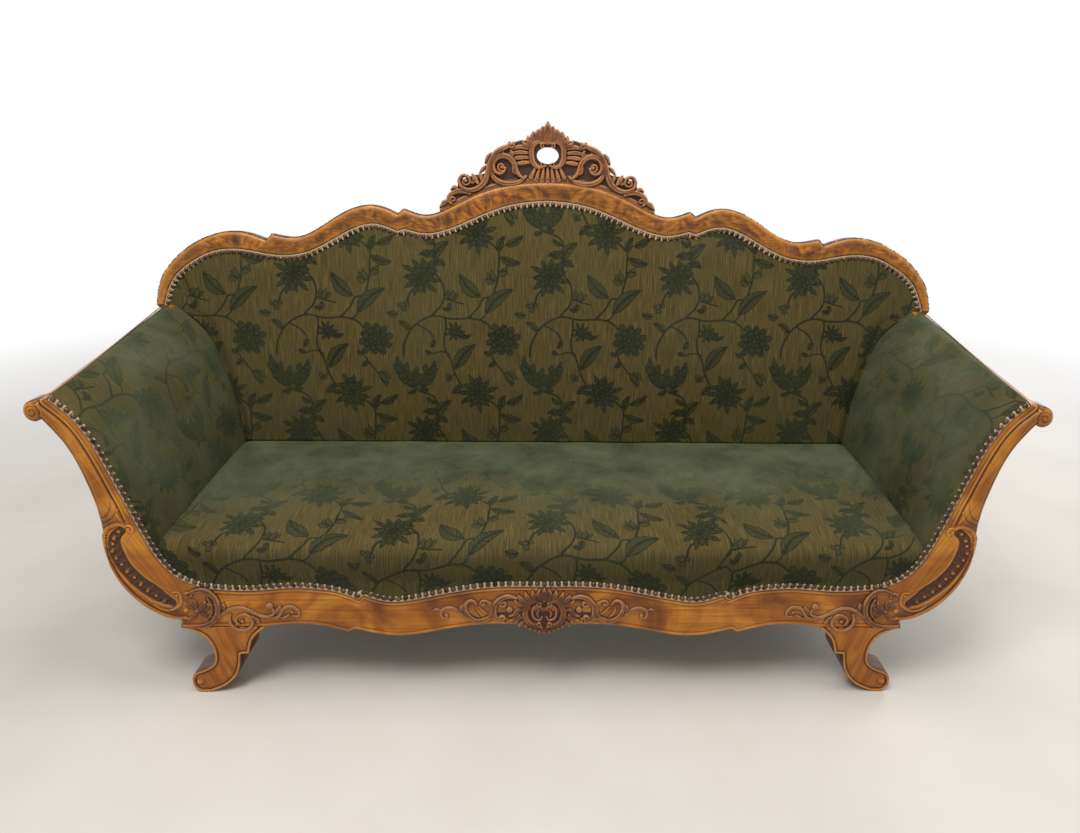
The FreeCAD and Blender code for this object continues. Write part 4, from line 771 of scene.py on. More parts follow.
def facingField(x, z):
    # Above, beads, a cove and a long tongue follow the edges; below lies the sunk belly with its carving.
    inner, outer = nearest(armShow, x, z)[0], nearest(outerLine, x, z)[0]
    high = eased(z, 446, 474)
    tongue = inner - facingLook["tongue"]
    tongue = np.clip(tongue / np.maximum(tongue + outer - 6.5, 1), 0, 1)
    moulded = (rib(inner, facingLook["bead"], 2.6, 2.2) + dip(inner, 15.0, 20.0, 2.2)
               + dip(outer, 4.6, 8.0, 1.6) + 3.4 * np.sqrt(np.clip(4 * tongue * (1 - tongue), 0, 1)) - 0.8)
    away, share = nearest(channel["line"], x, z)
    wide = np.interp(share, channel["at"], channel["wide"])
    sunk = 1 - eased(away, wide - 4, wide)
    lower = 1.6 * eased(inner, 2, 16) * eased(outer, 4, 12) - channel["deep"] * sunk
    height = lower * (1 - high) + moulded * high
    height = height - 1.4 * (1 - eased(inner, 0, 2.2)) - 4.0 * (1 - eased(outer, 0, 5.0)) ** 2
    height = height + rib(outer, 5.0, 2.6, 1.6) * (1 - high) * eased(215 - z, 0, 15)
    height = strokes(bellyCuts, x, z, height)
    for line, deep in panelGrooves:
        height = height - deep * np.exp(-(nearest(line, x, z)[0] / 1.8) ** 2)
    # shell ribs on the outer edge, and the notch where the inner rim starts
    ribs = (1 - eased(outer, 9, 13)) * eased(z, 398, 404) * (1 - eased(z, 440, 447)) * eased(x, 880, 900)
    height = height - ribs * (0.9 + 0.9 * np.cos(z * 2 * math.pi / 6.5))
    notch = nearest(np.array([(893, 444), (903, 462)]), x, z)[0]
    height = height - 3.2 * (1 - eased(notch, 2, 7)) * eased(inner, 14, 18)
    # the scroll's eye: a dome with a spiral groove and a rim
    centre, r = facingLook["eye"], facingLook["eyeR"]
    eye = np.hypot(x - centre[0], z - centre[1])
    height = np.where(eye < r + 2, np.minimum(height, -1.2), height)
    dome = 2.4 * np.sqrt(np.clip(1 - (eye / r) ** 2, 0, 1)) + 0.6
    height = np.maximum(height, np.where(eye < r, dome, -9))
    whirl = nearest(spiral(centre, 13.0, 110, -1.25, 0.3), x, z)[0]
    height = height - 1.7 * np.exp(-(whirl / 1.5) ** 2) + rib(eye, 15.8, 1.8, 1.6) * eased(z, 655, 676)
    # darker in the sunk belly and along the outer edge below the tongue: partly stain, partly painted shade in
    # the hollows
    stainAndShade = (1.25 * sunk * (1 - high) * (1 - 0.35 * eased(height, 0.5, 4.5))
             + 0.18 * (1 - high) * (1 - eased(outer, 14, 30)))
    return facingOutline(x, z), height, stainAndShade


for side, mirror in hands:
    reliefPiece(side + "ArmFacing", facingLook["box"], facingField, facingLook["cell"], facingLook["thick"],
                onFront, mirror, math.radians(facingLook["grain"]), material=goldenWood, slot="golden_walnut",
                replaced=[side + "_arm_facing", side + "_belly_carving"])
print("arm facings made")

# feet

footLook = {"box": (627, 814, 0, 176), "thick": 60.0, "cell": 1.6, "eye": (795, 28), "button": 7.5,
            "grain": 75}


def arc(a, b, c, count=9):
    # The circle through three points, from the first to the last.
    points = np.array([a, b, c], float)
    square, gap = (points ** 2).sum(axis=1), np.roll(points, -1, axis=0) - np.roll(points, 1, axis=0)
    centre = np.array([square @ gap[:, 1], -square @ gap[:, 0]]) / (2 * points[:, 0] @ gap[:, 1])
    way = points - centre
    t = np.interp(np.linspace(0, 1, count), [0, 0.5, 1], np.unwrap(np.arctan2(way[:, 1], way[:, 0])))
    return centre + math.hypot(*way[0]) * np.stack([np.cos(t), np.sin(t)], axis=1)


footInner = np.concatenate([smooth([(628, 176), (659.7, 144.3), (671.9, 105.6)], 2.5), [(691.9, 103.8)],
                            smooth([(691.9, 103.8), (703.9, 52.8), (735.1, 17.6), (772.7, 0)], 2.5)[1:]])
footToe = np.concatenate([[(796, 0)], arc((796, 0), (808.75, 10.7), (813, 29.75))[1:],
                          arc((813, 29.75), (806.2, 47.6), (790.9, 56.95))[1:]])
footOuter = smooth([(790.9, 56.95), (756.9, 79.2), (751.9, 109.1), (767.6, 149.6), (813, 176)], 2.5)
footEdge = np.concatenate([footInner, footToe, footOuter[1:]])
footOutline = outlineField(footEdge)


def footField(x, z):
    # A bead and a cove follow the edge; the toe has a spiral groove round a button.
    d = nearest(footEdge, x, z)[0]
    height = rib(d, 3.2, 2.9, 2.4) - 2.0 * (1 - eased(d, 0, 1.6)) + dip(d, 6.0, 10.0, 1.6)
    height = height + 1.2 * eased(d, 9.5, 22)
    centre, r = footLook["eye"], footLook["button"]
    whirl = nearest(spiral(centre, 13.5, 100, 1.15, 0.35), x, z)[0]
    height = height - 1.6 * np.exp(-(whirl / 1.7) ** 2)
    button = np.hypot(x - centre[0], z - centre[1])
    dome = 3.4 * np.sqrt(np.clip(1 - (button / r) ** 2, 0, 1))
    return footOutline(x, z), np.where(button < r, np.maximum(height, dome), height), 0.0


for side, mirror in hands:
    reliefPiece(side + "FrontFoot", footLook["box"], footField, footLook["cell"], footLook["thick"], onFront,
                mirror, math.radians(footLook["grain"]), material=goldenWood, slot="golden_walnut",
                replaced=[side + "_front_foot"])
print("feet made")

# crest rail

crestLook = {"box": (-1060, 1060, 331, 665), "thick": 35.0, "cell": 2.6, "hidden": 16.0, "crown": 3.0,
             "round": 7.0}
topWhole, showWhole = bothSides(crestTop), bothSides(crestShow)
crestLow = showWhole - (0, crestLook["hidden"])
crestLow[:, 0] *= 1 - 0.012 * eased(np.abs(crestLow[:, 0]), 960, 1037)
crestLow[0], crestLow[-1] = (-1024, 332), (1024, 332)
crestOutline = outlineField(np.concatenate([topWhole, crestLow[::-1]]))


def crestField(x, v):
    # A crown between the rail's two edges, both rounded, and a rebate below the nail line.
    dTop, dShow = nearest(topWhole, x, v)[0], nearest(showWhole, x, v)[0]
    above = inside(np.concatenate([topWhole, showWhole[::-1]]), x, v)
    wide = np.maximum(dTop + dShow, 1)
    height = crestLook["crown"] * 4 * dTop * dShow / wide ** 2
    height = height - 6.5 * (1 - eased(dTop, 0, crestLook["round"])) ** 2 - 1.4 * (1 - eased(dShow, 0, 2.4))
    return crestOutline(x, v), np.where(above, height, -body["rebate"]), 0.0


reliefPiece("crestRail", crestLook["box"], crestField, crestLook["cell"], crestLook["thick"], leaned,
            material=burrWood, slot="burr_walnut", replaced=["crest_rail"])
print("crest rail made")

# pierced crest carving

carvingLook = {"box": (-292, 292, 576, 818), "cell": 1.6, "front": 3.0, "thick": 27.0, "stout": 1.15,
               "ground": -6.5, "opening": (29.0, 21.5), "openingV": 730.2}


def upSlope(points):
    # From the height above the floor to the height up the back's slope.
    return [(x, (z - body["pivotZ"]) * body["slope"]) for x, z in points]


def crestCut(points, half, rise, groove=0.0, base=0.0):
    return cut(upSlope(points), carvingLook["stout"] * np.array(half), rise, groove, base)


def crestCurl(centre, radius, start, turns, half, rise):
    return curl(upSlope([centre])[0], radius, start, turns, half, rise)


def crestBoss(centre, radius, rise):
    return boss(upSlope([centre])[0], radius, rise)


crestRight = [
    crestCut([(0, 1128), (50, 1132), (110, 1138), (140, 1158)], (28, 26, 24, 16), 0.0, base=-6.0),
    crestCut([(40, 1182), (70, 1184), (104, 1180)], (24, 24, 16), 0.0, base=-5.0),
    crestCut([(0, 1205), (0, 1236)], (26, 12), 0.0, base=-4.0),
    crestCut([(20, 1205), (50, 1206)], (18, 8), 0.0, base=-4.0),
    crestCut([(158, 1105), (190, 1100), (222, 1098)], (14, 17, 14), 0.0, base=-6.0),
    crestCut([(225, 1075), (252, 1062)], (14, 12), 0.0, base=-6.0),
    crestCut([(12, 1202), (26, 1206), (39, 1196), (43, 1176), (38, 1155), (24, 1144), (9, 1146)],
             (3, 5.5, 6.5, 6.5, 6.5, 5.5, 3), 8.0, 1.4),
    crestCurl((13, 1197), 7, 120, -0.9, (3.2, 2.4), 8.0),
    crestCurl((12, 1152), 7, 220, 0.9, (3.2, 2.4), 8.0),
    crestCut([(4, 1206), (6, 1228), (0, 1256)], (6, 8, 2.4), 8.5, 1.6),
    crestCut([(11, 1209), (18, 1226), (14, 1245)], (5, 7, 2.0), 7.5, 1.4),
    crestCut([(20, 1210), (30, 1222), (24, 1238)], (5, 7, 2.0), 7.0, 1.4),
    crestCut([(28, 1208), (40, 1216), (38, 1232)], (5, 6.5, 2.0), 7.0, 1.3),
    crestCut([(36, 1204), (50, 1208), (52, 1221)], (5, 6.5, 2.0), 7.0, 1.3),
    crestCut([(44, 1197), (60, 1200), (67, 1211)], (5, 6, 2.0), 6.5, 1.2),
    crestCut([(47, 1190), (70, 1194), (92, 1190)], (4, 5.5, 4), 5.5, 1.6),
    crestCut([(49, 1179), (72, 1181), (98, 1176)], (4, 5.5, 4), 5.0, 1.6),
    crestCut([(49, 1168), (72, 1168), (97, 1163)], (4, 5.5, 4), 5.0, 1.6),
    crestCut([(46, 1157), (66, 1155), (86, 1151)], (4, 5.5, 3.5), 5.0, 1.6),
    crestCut([(0, 1140), (0, 1108)], (3, 6), 6.0, 1.5),
    crestCut([(11, 1139), (15, 1109)], (3, 5.5), 5.5, 1.4),
    crestCut([(22, 1140), (30, 1112)], (3, 5.5), 5.5, 1.4),
    crestCut([(32, 1143), (44, 1118)], (3, 5.5), 5.5, 1.4),
    crestCut([(88, 1204), (100, 1197), (125, 1186), (145, 1166), (155, 1141), (160, 1120), (170, 1101),
              (190, 1087), (212, 1085), (229, 1096), (233, 1111), (224, 1122), (210, 1120)],
             (4, 6, 7.5, 7.5, 7, 7, 7.5, 7, 6, 5, 4, 3), 9.0, 1.8),
    crestCurl((93, 1199), 9, 40, -1.2, (4, 2.6), 8.0), crestCurl((216, 1107), 13, 100, 1.2, (4, 2.6), 8.0),
    crestBoss((216, 1107), 4.2, 9.0), crestBoss((93, 1199), 3.6, 9.0),
    crestCut([(58, 1120), (75, 1107), (100, 1102), (130, 1108), (148, 1128), (152, 1149)],
             (4, 6, 6.5, 6.5, 6, 3.5), 7.5, 1.6),
    crestCut([(66, 1117), (80, 1131), (88, 1152), (104, 1169), (126, 1170), (141, 1158), (143, 1141),
              (132, 1129), (117, 1130), (111, 1141)], (3, 5.5, 6.5, 7, 7, 6.5, 6, 5, 4, 3), 9.0, 1.6),
    crestCurl((121, 1144), 11, 250, 1.2, (4, 2.6), 8.0), crestBoss((121, 1144), 4.6, 9.0),
    crestCut([(96, 1166), (92, 1178), (98, 1186)], (3, 5, 2), 6.5, 1.2),
    crestCut([(116, 1170), (118, 1180), (126, 1184)], (3, 5, 2), 6.5, 1.2),
    crestCut([(76, 1128), (88, 1132), (92, 1144)], (3, 5, 2.5), 6.0, 1.2),
    crestCut([(184, 1103), (192, 1113), (198, 1124)], (4, 7, 3.0), 7.5, 1.4),
    crestCut([(174, 1110), (176, 1120), (180, 1128)], (3, 5, 2.0), 6.5, 1.2),
    crestCut([(196, 1103), (204, 1108), (207, 1116)], (3, 4.5, 2.0), 6.0, 1.0),
    crestCut([(150, 1178), (158, 1168), (164, 1154)], (2.4, 4.5, 2.0), 5.5, 1.0),
    crestCut([(164, 1146), (172, 1138), (178, 1130)], (2.4, 4.5, 2.0), 5.5, 1.0),
    crestCut([(205, 1076), (224, 1082), (244, 1080), (259, 1070), (263, 1058), (254, 1050)],
             (4, 6, 6.5, 6, 5, 3), 8.0, 1.6),
    crestCurl((250, 1060), 9, 300, 1.1, (3.4, 2.4), 7.5),
    crestCut([(260, 1058), (272, 1053), (286, 1041)], (4, 7, 1.4), 6.5, 1.5),
    crestCut([(236, 1088), (246, 1092), (256, 1086)], (2.5, 4.5, 1.5), 5.5, 1.0),
    crestCut([(62, 1180), (62, 1146)], (2, 2), 0.0, base=-4.0),
    stroke(evenly(crestTop[crestTop[:, 0] < 284] + (0, 3.0), 3.0), (8, 8, 6), 3.5, base=-1.0)]
crestGround = smooth(upSlope([(0, 1251), (12, 1240), (30, 1230), (46, 1209), (66, 1203), (92, 1196),
                             (122, 1180), (141, 1163), (156, 1141), (172, 1126), (192, 1124), (214, 1113),
                             (222, 1100), (222, 1086), (241, 1076), (257, 1062), (269, 1049), (274, 1034)]), 3.0)
crestBoard = outlineField(np.concatenate([crestGround, [(274, 560), (-274, 560)],
                                          crestGround[::-1] * (-1, 1)]))
crestFloor = outlineField(np.concatenate([topWhole - (0, 8.0), [(1060, 0), (-1060, 0)]]))


def carvingField(x, v):
    # The strokes stand on a solid ground, pierced by an oval and cut off along the crest rail.
    signed = np.full(x.shape, -20.0)
    height = strokes(mirrored(crestRight) + crestRight, x, v, np.full(x.shape, carvingLook["ground"]), signed)
    signed = np.maximum(signed, crestBoard(x, v))
    halfX, halfV = carvingLook["opening"]
    opening = (np.hypot(x / halfX, (v - carvingLook["openingV"]) / halfV) - 1) * 22
    # darker where low, painted shade in the recesses with stain, and a little darker all over
    stainAndShade = 0.5 * (1 - eased(height, -4.0, 3.0)) + 0.12
    return np.minimum(np.minimum(signed, opening), -crestFloor(x, v)), height, stainAndShade


def onCrest(points):
    return leaned(points + (0.0, carvingLook["front"], 0.0))


reliefPiece("crestCarving", carvingLook["box"], carvingField, carvingLook["cell"],
            carvingLook["thick"] - carvingLook["front"], onCrest, material=carvedWood, slot="carved_walnut",
            replaced=["crest_carving"])
print("crest carving made")

# carvings on the front rail and at the corners

apronLook = {"box": (-258, 258, 156, 290), "cell": 1.5, "deep": 1.5, "slender": 5, "stout": 1.36}
apronRight = [
    cut([(4, 228), (12, 236), (23, 232), (27, 216), (22, 202), (11, 198), (5, 206)],
        (2, 3, 3.6, 3.6, 3.4, 3, 2), 5.0),
    cut([(12, 222), (16, 214), (13, 206)], (2.4, 4, 2), 3.6),
    cut([(48, 206), (60, 200), (66, 190)], (3, 5.5, 2.4), 5.5, 1.2),
    cut([(44, 196), (54, 188), (58, 180)], (3, 5, 2.4), 5.0, 1.2),
    cut([(49, 224), (60, 224), (68, 220)], (3, 5, 2.4), 5.0, 1.2), boss((0, 213), 52, 0.0, base=0.6),
    cut([(0, 213), (40, 226), (90, 228)], (44, 36, 24), 0.0, base=0.5),
    cut([(8, 243), (25, 248), (38, 236), (43, 215), (38, 196), (25, 185), (8, 182)], (3, 5, 6, 6, 6, 5, 3),
        7.0, 1.2),
    curl((11, 238), 6.5, 110, -0.9, (3, 2), 7.0), curl((11, 188), 6.5, 250, 0.9, (3, 2), 7.0),
    cut([(0, 250), (0, 282)], (4, 7, 2), 7.0, 1.5),
    cut([(8, 251), (12, 266), (11, 279)], (4, 6, 2), 6.5, 1.3),
    cut([(18, 251), (25, 264), (26, 275)], (4, 6, 2), 6.0, 1.3),
    cut([(28, 249), (39, 259), (42, 270)], (4, 6, 2), 6.0, 1.3),
    cut([(38, 245), (51, 252), (58, 264)], (4, 6, 2), 6.0, 1.3),
    cut([(44, 236), (58, 240), (66, 250)], (4, 5.5, 2), 5.5, 1.2),
    cut([(62, 256), (85, 259), (101, 250), (112, 233), (113, 214), (105, 198), (91, 191)],
        (3, 5, 6, 6, 6, 5, 3), 6.5, 1.4),
    curl((92, 241), 9, 60, -1.2, (3.4, 2.2), 6.0), curl((94, 202), 9, 260, 1.2, (3.4, 2.2), 6.0),
    boss((78, 225), 6.5, 6.5),
    cut([(56, 226), (66, 214), (78, 208)], (3, 5, 2), 5.0, 1.0),
    cut([(56, 210), (66, 200), (80, 196)], (3, 5, 2), 5.0, 1.0),
    cut([(130, 249), (120, 240), (117, 224), (122, 207), (135, 198), (150, 195), (165, 203), (175, 219),
         (177, 236), (168, 248), (158, 248), (152, 240)], (2.4, 4.5, 5, 5, 5.5, 5.5, 5.5, 5, 4.5, 4, 3,
                                                           2.4), 5.5, 1.0),
    curl((136, 241), 8, 130, -1.1, (3.2, 2.2), 5.0), boss((136, 240), 3.2, 6.0),
    cut([(128, 214), (138, 222), (146, 234)], (2, 4, 1.4), 4.0),
    cut([(146, 206), (156, 216), (160, 230)], (2, 4, 1.4), 4.0),
    cut([(160, 199), (180, 210), (195, 223), (212, 230), (226, 226), (232, 214), (227, 204), (218, 204)],
        (4, 4.2, 4, 4, 3.6, 3.4, 3, 2.4), 5.0, 0.8),
    boss((219, 210), 4.2, 5.5),
    cut([(184, 220), (186, 229), (184, 238)], (2, 4.6, 1.2), 4.5),
    cut([(234, 224), (243, 226), (250, 222)], (2, 3.4, 1), 3.5)]
lowerPearls = ((0, 166, 6), (11, 168, 5), (21, 172, 5), (31, 177, 5), (41, 183, 5), (50, 190, 4.6))
upperPearls = ((6, 176), (17, 178), (28, 184), (38, 190))
apronRight += [boss((x, z), radius, 5.0) for x, z, radius in lowerPearls]
apronRight += [boss(place, 4.0, 4.5) for place in upperPearls]
for one in apronRight[apronLook["slender"]:]:
    if one["rise"]:
        one["half"] = apronLook["stout"] * one["half"]


def apronField(x, z):
    signed = np.full(x.shape, -20.0)
    height = strokes(mirrored(apronRight) + apronRight, x, z, np.full(x.shape, 0.3), signed)
    # darker where low, painted shade in the recesses with stain, and darker in the middle of the cartouche
    stainAndShade = 0.4 * (1 - eased(height, 1.0, 5.0)) + 0.3 * (1 - eased(np.hypot(x, z - 215), 50, 80))
    return signed, height, stainAndShade


cornerLook = {"box": (536, 816, 160, 286), "cell": 1.5, "deep": 1.5, "stout": 1.16, "lobe": 1.5}
cornerCuts = [
    cut([(750, 232), (770, 226)], (22, 24), 0.0, base=0.5),
    cut([(792, 256), (776, 270), (760, 275), (745, 272), (734, 262), (727, 249), (725, 231), (730, 210),
         (741, 194), (756, 185), (776, 181), (808, 183)], (2.6, 5, 6, 6.5, 6.5, 6.5, 6.5, 6.5, 6, 5.5, 5,
                                                           3), 7.0, 1.6),
    curl((784, 262), 8, 30, 1.2, (3.4, 2.2), 6.5), boss((784, 261), 3.6, 7.0),
    cut([(745, 252), (739, 234), (742, 214), (752, 199)], (2.4, 3.4, 3.4, 2), 4.5),
    cut([(768, 226), (758, 234), (752, 246)], (3, 5.5, 2), 5.5, 1.2),
    cut([(766, 222), (754, 224), (745, 230)], (3, 5, 2), 5.0, 1.0),
    cut([(768, 216), (758, 210), (752, 202)], (3, 5, 2), 5.0, 1.0),
    cut([(774, 230), (776, 244), (782, 252)], (3, 5.5, 2), 5.5, 1.2),
    cut([(778, 222), (788, 232), (796, 242)], (3, 5, 2), 5.0, 1.0),
    cut([(776, 212), (784, 204), (796, 200)], (3, 5, 2), 5.0, 1.0), boss((772, 222), 5.0, 6.5),
    cut([(748, 186), (735, 196), (725, 207), (710, 220), (690, 229), (672, 229), (655, 222), (640, 212),
         (622, 206), (606, 212)], (5, 5, 4.6, 4.4, 4.2, 4.2, 4, 4, 3.8, 3), 5.5, 0.9),
    cut([(712, 222), (714, 232), (711, 242)], (2.4, 5.4, 1.4), 5.0, 0.8),
    cut([(700, 212), (704, 196), (697, 178), (681, 170), (664, 175), (654, 189), (657, 204), (668, 212),
         (682, 208), (690, 196), (684, 186)], (3, 4, 4.4, 4.4, 4.4, 4.2, 4, 3.8, 3.4, 3, 2.4), 5.5, 0.8),
    boss((676, 194), 4.4, 6.0),
    cut([(652, 206), (644, 198), (638, 188)], (2.4, 4.6, 1.2), 4.5, 0.8),
    cut([(658, 182), (650, 176), (646, 182)], (2, 4, 1.2), 4.0), boss((611, 234), 8.0, 6.5),
    cut([(606, 226), (603, 218), (608, 209)], (3, 3, 3), 4.5),
    cut([(600, 220), (591, 226), (588, 236)], (2.4, 5, 1.4), 4.5, 0.8),
    cut([(622, 207), (606, 203), (594, 207), (586, 220), (576, 231), (562, 233), (551, 226), (547, 215),
         (553, 207), (562, 209)], (3, 3.4, 3.8, 4, 4, 4, 3.8, 3.4, 3, 2.2), 5.0, 0.8),
    boss((563, 218), 3.6, 5.0),
    cut([(570, 212), (578, 206), (588, 203)], (2, 3.8, 1.2), 4.0)]

for one in cornerCuts[1:]:
    lobe = one["rise"] <= 5.5 and len(one["half"]) == 3
    one["half"] = cornerLook["lobe" if lobe else "stout"] * one["half"]


def cornerField(x, z):
    signed = np.full(x.shape, -20.0)
    height = strokes(cornerCuts, x, z, np.full(x.shape, 0.3), signed)
    # darker where low, painted shade in the recesses with stain, and darker towards the outer end
    return signed, height, 0.65 * (1 - eased(height, 1.0, 5.0)) + 0.4 * eased(x, 705, 745)


reliefPiece("apronCarving", apronLook["box"], apronField, apronLook["cell"], apronLook["deep"], onFront,
            material=carvedWood, slot="carved_walnut", replaced=["apron_cartouche"])
for side, mirror in hands:
    reliefPiece(side + "CornerCarving", cornerLook["box"], cornerField, cornerLook["cell"],
                cornerLook["deep"], onFront, mirror, material=carvedWood, slot="carved_walnut",
                replaced=[side + "_corner_carving"])
print("front carvings made")

# the woven figure: a vine of flowers and leaves that repeats every 345 by 427 mm

tile = {"wide": 345, "high": 427, "clip": 4.0}


def petals(centre, count, inner, outer, half, turn=0.0, swing=0.0, tip=0.05):
    # A ring of petals from the inner to the outer radius, each an evenly spaced turn on and some longer.
    made = []
    for k in range(count):
        a = math.radians(turn + 360.0 * k / count)
        far, b = outer * (1.0 + 0.12 * math.cos(2.3 * k + turn)), a + swing
        line = [(centre[0] + inner * math.cos(a), centre[1] + inner * math.sin(a)),
                (centre[0] + far * math.cos(b), centre[1] + far * math.sin(b))]
        made.append({"line": np.array(line), "half": (half * 0.4, half, half * max(0.9, tip), half * tip),
                     "bloom": 1.0})
    return made


def leaf(base, tip, half, bend=0.0, vein=1.0, sides=0, bloom=0.0):
    # A bent leaf with a middle vein, and side veins if asked.
    (ax, az), (bx, bz) = base, tip
    mid = ((ax + bx) / 2 - bend * (bz - az), (az + bz) / 2 + bend * (bx - ax))
    return {"line": smooth([base, mid, tip], 3.0), "half": (0.8, half * 0.85, half, half * 0.6, 0.3),
            "vein": vein, "sides": sides, "bloom": bloom}


def stem(points, half=2.6):
    return {"line": smooth(points, 3.0), "half": (half, half)}


def disc(centre, radius):
    return {"line": dot(centre), "half": (radius, radius)}


vineStems = [
    ([(-390, 650), (-388, 680), (-377, 705), (-362, 728), (-340, 745), (-315, 756), (-290, 757), (-270, 752),
      (-245, 750), (-215, 752), (-190, 750), (-165, 740), (-150, 724)], 2.8),
    ([(-352, 735), (-330, 724), (-312, 708), (-305, 695)], 2.0),
    ([(-360, 828), (-372, 812), (-377, 795), (-385, 776)], 2.6),
    ([(-305, 850), (-307, 880), (-303, 910), (-305, 958)], 2.2),
    ([(-300, 868), (-285, 850), (-278, 830), (-278, 805), (-290, 780), (-305, 765), (-312, 756)], 2.6),
    ([(-278, 806), (-262, 799), (-245, 795), (-225, 790)], 2.0),
    ([(-235, 751), (-215, 753), (-195, 770), (-180, 790), (-172, 805), (-150, 810), (-140, 830), (-132, 860),
      (-130, 900), (-130, 925), (-145, 945), (-168, 957)], 2.7),
    ([(-188, 748), (-176, 752), (-166, 762)], 2.2),
    ([(-130, 925), (-122, 935), (-114, 946)], 2.0),
    ([(-275, 752), (-274, 725), (-279, 690), (-275, 665), (-262, 640), (-255, 615), (-250, 600), (-240, 580),
      (-228, 562)], 2.7),
    ([(-264, 655), (-285, 662), (-312, 655)], 2.0),
    ([(-250, 600), (-262, 596)], 1.8),
    ([(-350, 552), (-328, 546), (-306, 530), (-303, 500), (-300, 440)], 2.7),
    ([(-150, 650), (-136, 628), (-118, 604)], 2.0)]
# base, tip, half width, bend, middle vein, side veins; a disc has its centre and radius only
vineLeaves = [
    ((-262, 700), (-206, 702), 7, 0.1), ((-238, 700), (-200, 712), 6, -0.1), ((-400, 762), (-434, 768), 10,
                                                                              0.1),
    ((-386, 776), 8), ((-397, 787), 6), ((-375, 789), 6), ((-386, 792), 5),
    ((-307, 905), (-260, 954), 15, 0.12, 1.1, 7), ((-305, 925), (-347, 915), 8, -0.1),
    ((-304, 945), (-332, 964), 8, 0.1), ((-305, 890), (-282, 900), 6, 0.1), ((-263, 800), (-268, 830), 7.5,
                                                                             0, 0),
    ((-257, 800), (-236, 818), 7, 0, 0), ((-260, 799), (-250, 828), 8, 0, 0), ((-264, 795), (-268, 768), 8,
                                                                               0.1),
    ((-285, 778), (-262, 768), 6, 0.1), ((-305, 697), (-318, 670), 8, 0.1), ((-370, 716), (-404, 744), 10,
                                                                             -0.12),
    ((-176, 808), (-238, 874), 19, 0.1, 1.3, 9), ((-168, 762), (-86, 832), 19, 0.1, 1.3, 9),
    ((-140, 850), (-162, 874), 9, 0.1, 0), ((-136, 852), (-150, 884), 8, 0.1, 0),
    ((-142, 846), (-168, 858), 8, 0.1, 0), ((-130, 868), (-106, 892), 9, -0.1, 0),
    ((-131, 864), (-102, 872), 8, 0.1, 0), ((-130, 928), (-110, 972), 10, 0.1, 1.0, 5),
    ((-116, 944), (-62, 974), 11, -0.1, 1.0, 5), ((-127, 916), (-66, 900), 12, -0.12, 1.0, 5),
    ((-250, 612), (-190, 684), 19, 0.1, 1.3, 9), ((-312, 655), (-334, 665), 7),
    ((-272, 596), 7), ((-262, 588), 6), ((-270, 584), 5), ((-236, 574), (-264, 546), 11, 0.1, 1.0, 5)]
lowerLeaves = [
    ((-352, 562), 10), ((-356, 556), (-386, 548), 8, 0.1), ((-346, 556), (-322, 560), 7, -0.1),
    ((-304, 505), (-334, 486), 10, 0.1, 1.0, 4), ((-303, 478), (-272, 460), 10, 0.1, 1.0, 4),
    ((-118, 604), (-94, 564), 10, 0.12, 0), ((-112, 606), (-80, 584), 9, 0.1, 0),
    ((-116, 606), (-86, 572), 8, 0, 0), ((-140, 640), (-162, 620), 8, 0.1),
    ((-150, 655), (-172, 664), 8, 0.1)]
# centre, then rings of petals (count, inner, outer, half width, turn, swing, tip), then the middle's radius
vineFlowers = [
    ((-338, 862), [(11, 16, 54, 7.5, 10, 0.16), (9, 14, 40, 8.0, 30, -0.1), (8, 6, 25, 6.5, 18),
                   (6, 2, 12, 3.4, 10)], 3.6),
    ((-190, 548), [(11, 16, 54, 7.5, 40, 0.16), (9, 14, 40, 8.0, 60, -0.1), (8, 6, 25, 6.5, 48),
                   (6, 2, 12, 3.4, 40)], 3.6),
    ((-120, 695), [(10, 20, 37, 11.0, 12, 0.0, 0.85), (8, 12, 26, 9.5, 30, 0.0, 0.85),
                   (7, 5, 15, 6.5, 4, 0.0, 0.8)], 6.0),
    ((-250, 716), [(9, 8, 29, 4.4, 0), (7, 3, 17, 4.4, 20)], 4.5)]
bowl = {"line": [(-408, 648), (-402, 618), (-384, 592), (-358, 580), (-332, 586), (-314, 606), (-306, 636)],
        "half": (3, 13, 19, 21, 19, 13, 3)}
bowlLips = [((-392, 608), (-420, 628)), ((-380, 592), (-408, 600)), ((-366, 584), (-386, 570)),
            ((-344, 584), (-336, 566)), ((-330, 594), (-308, 584)), ((-318, 612), (-296, 612)),
            ((-382, 604), (-378, 634)), ((-358, 592), (-352, 622)), ((-332, 602), (-326, 630))]


def vineParts():
    # Stems, ragged asters, a rosette and a small burst, leaves and berries, and a flower seen from the side:
    # a bowl with ragged lips over a calyx.
    parts = [stem(*row) for row in vineStems]
    for centre, rings, middle in vineFlowers:
        for ring in rings:
            parts += petals(centre, *ring)
        parts.append(disc(centre, middle))
    parts += [disc(*row) if len(row) == 2 else leaf(*row) for row in vineLeaves]
    parts.append({"line": smooth(bowl["line"], 3.0), "half": bowl["half"], "bloom": 1.0})
    parts += [leaf(base, tip, 9, 0.1, 0, bloom=1.0) for base, tip in bowlLips]
    return parts + [disc(*row) if len(row) == 2 else leaf(*row) for row in lowerLeaves]


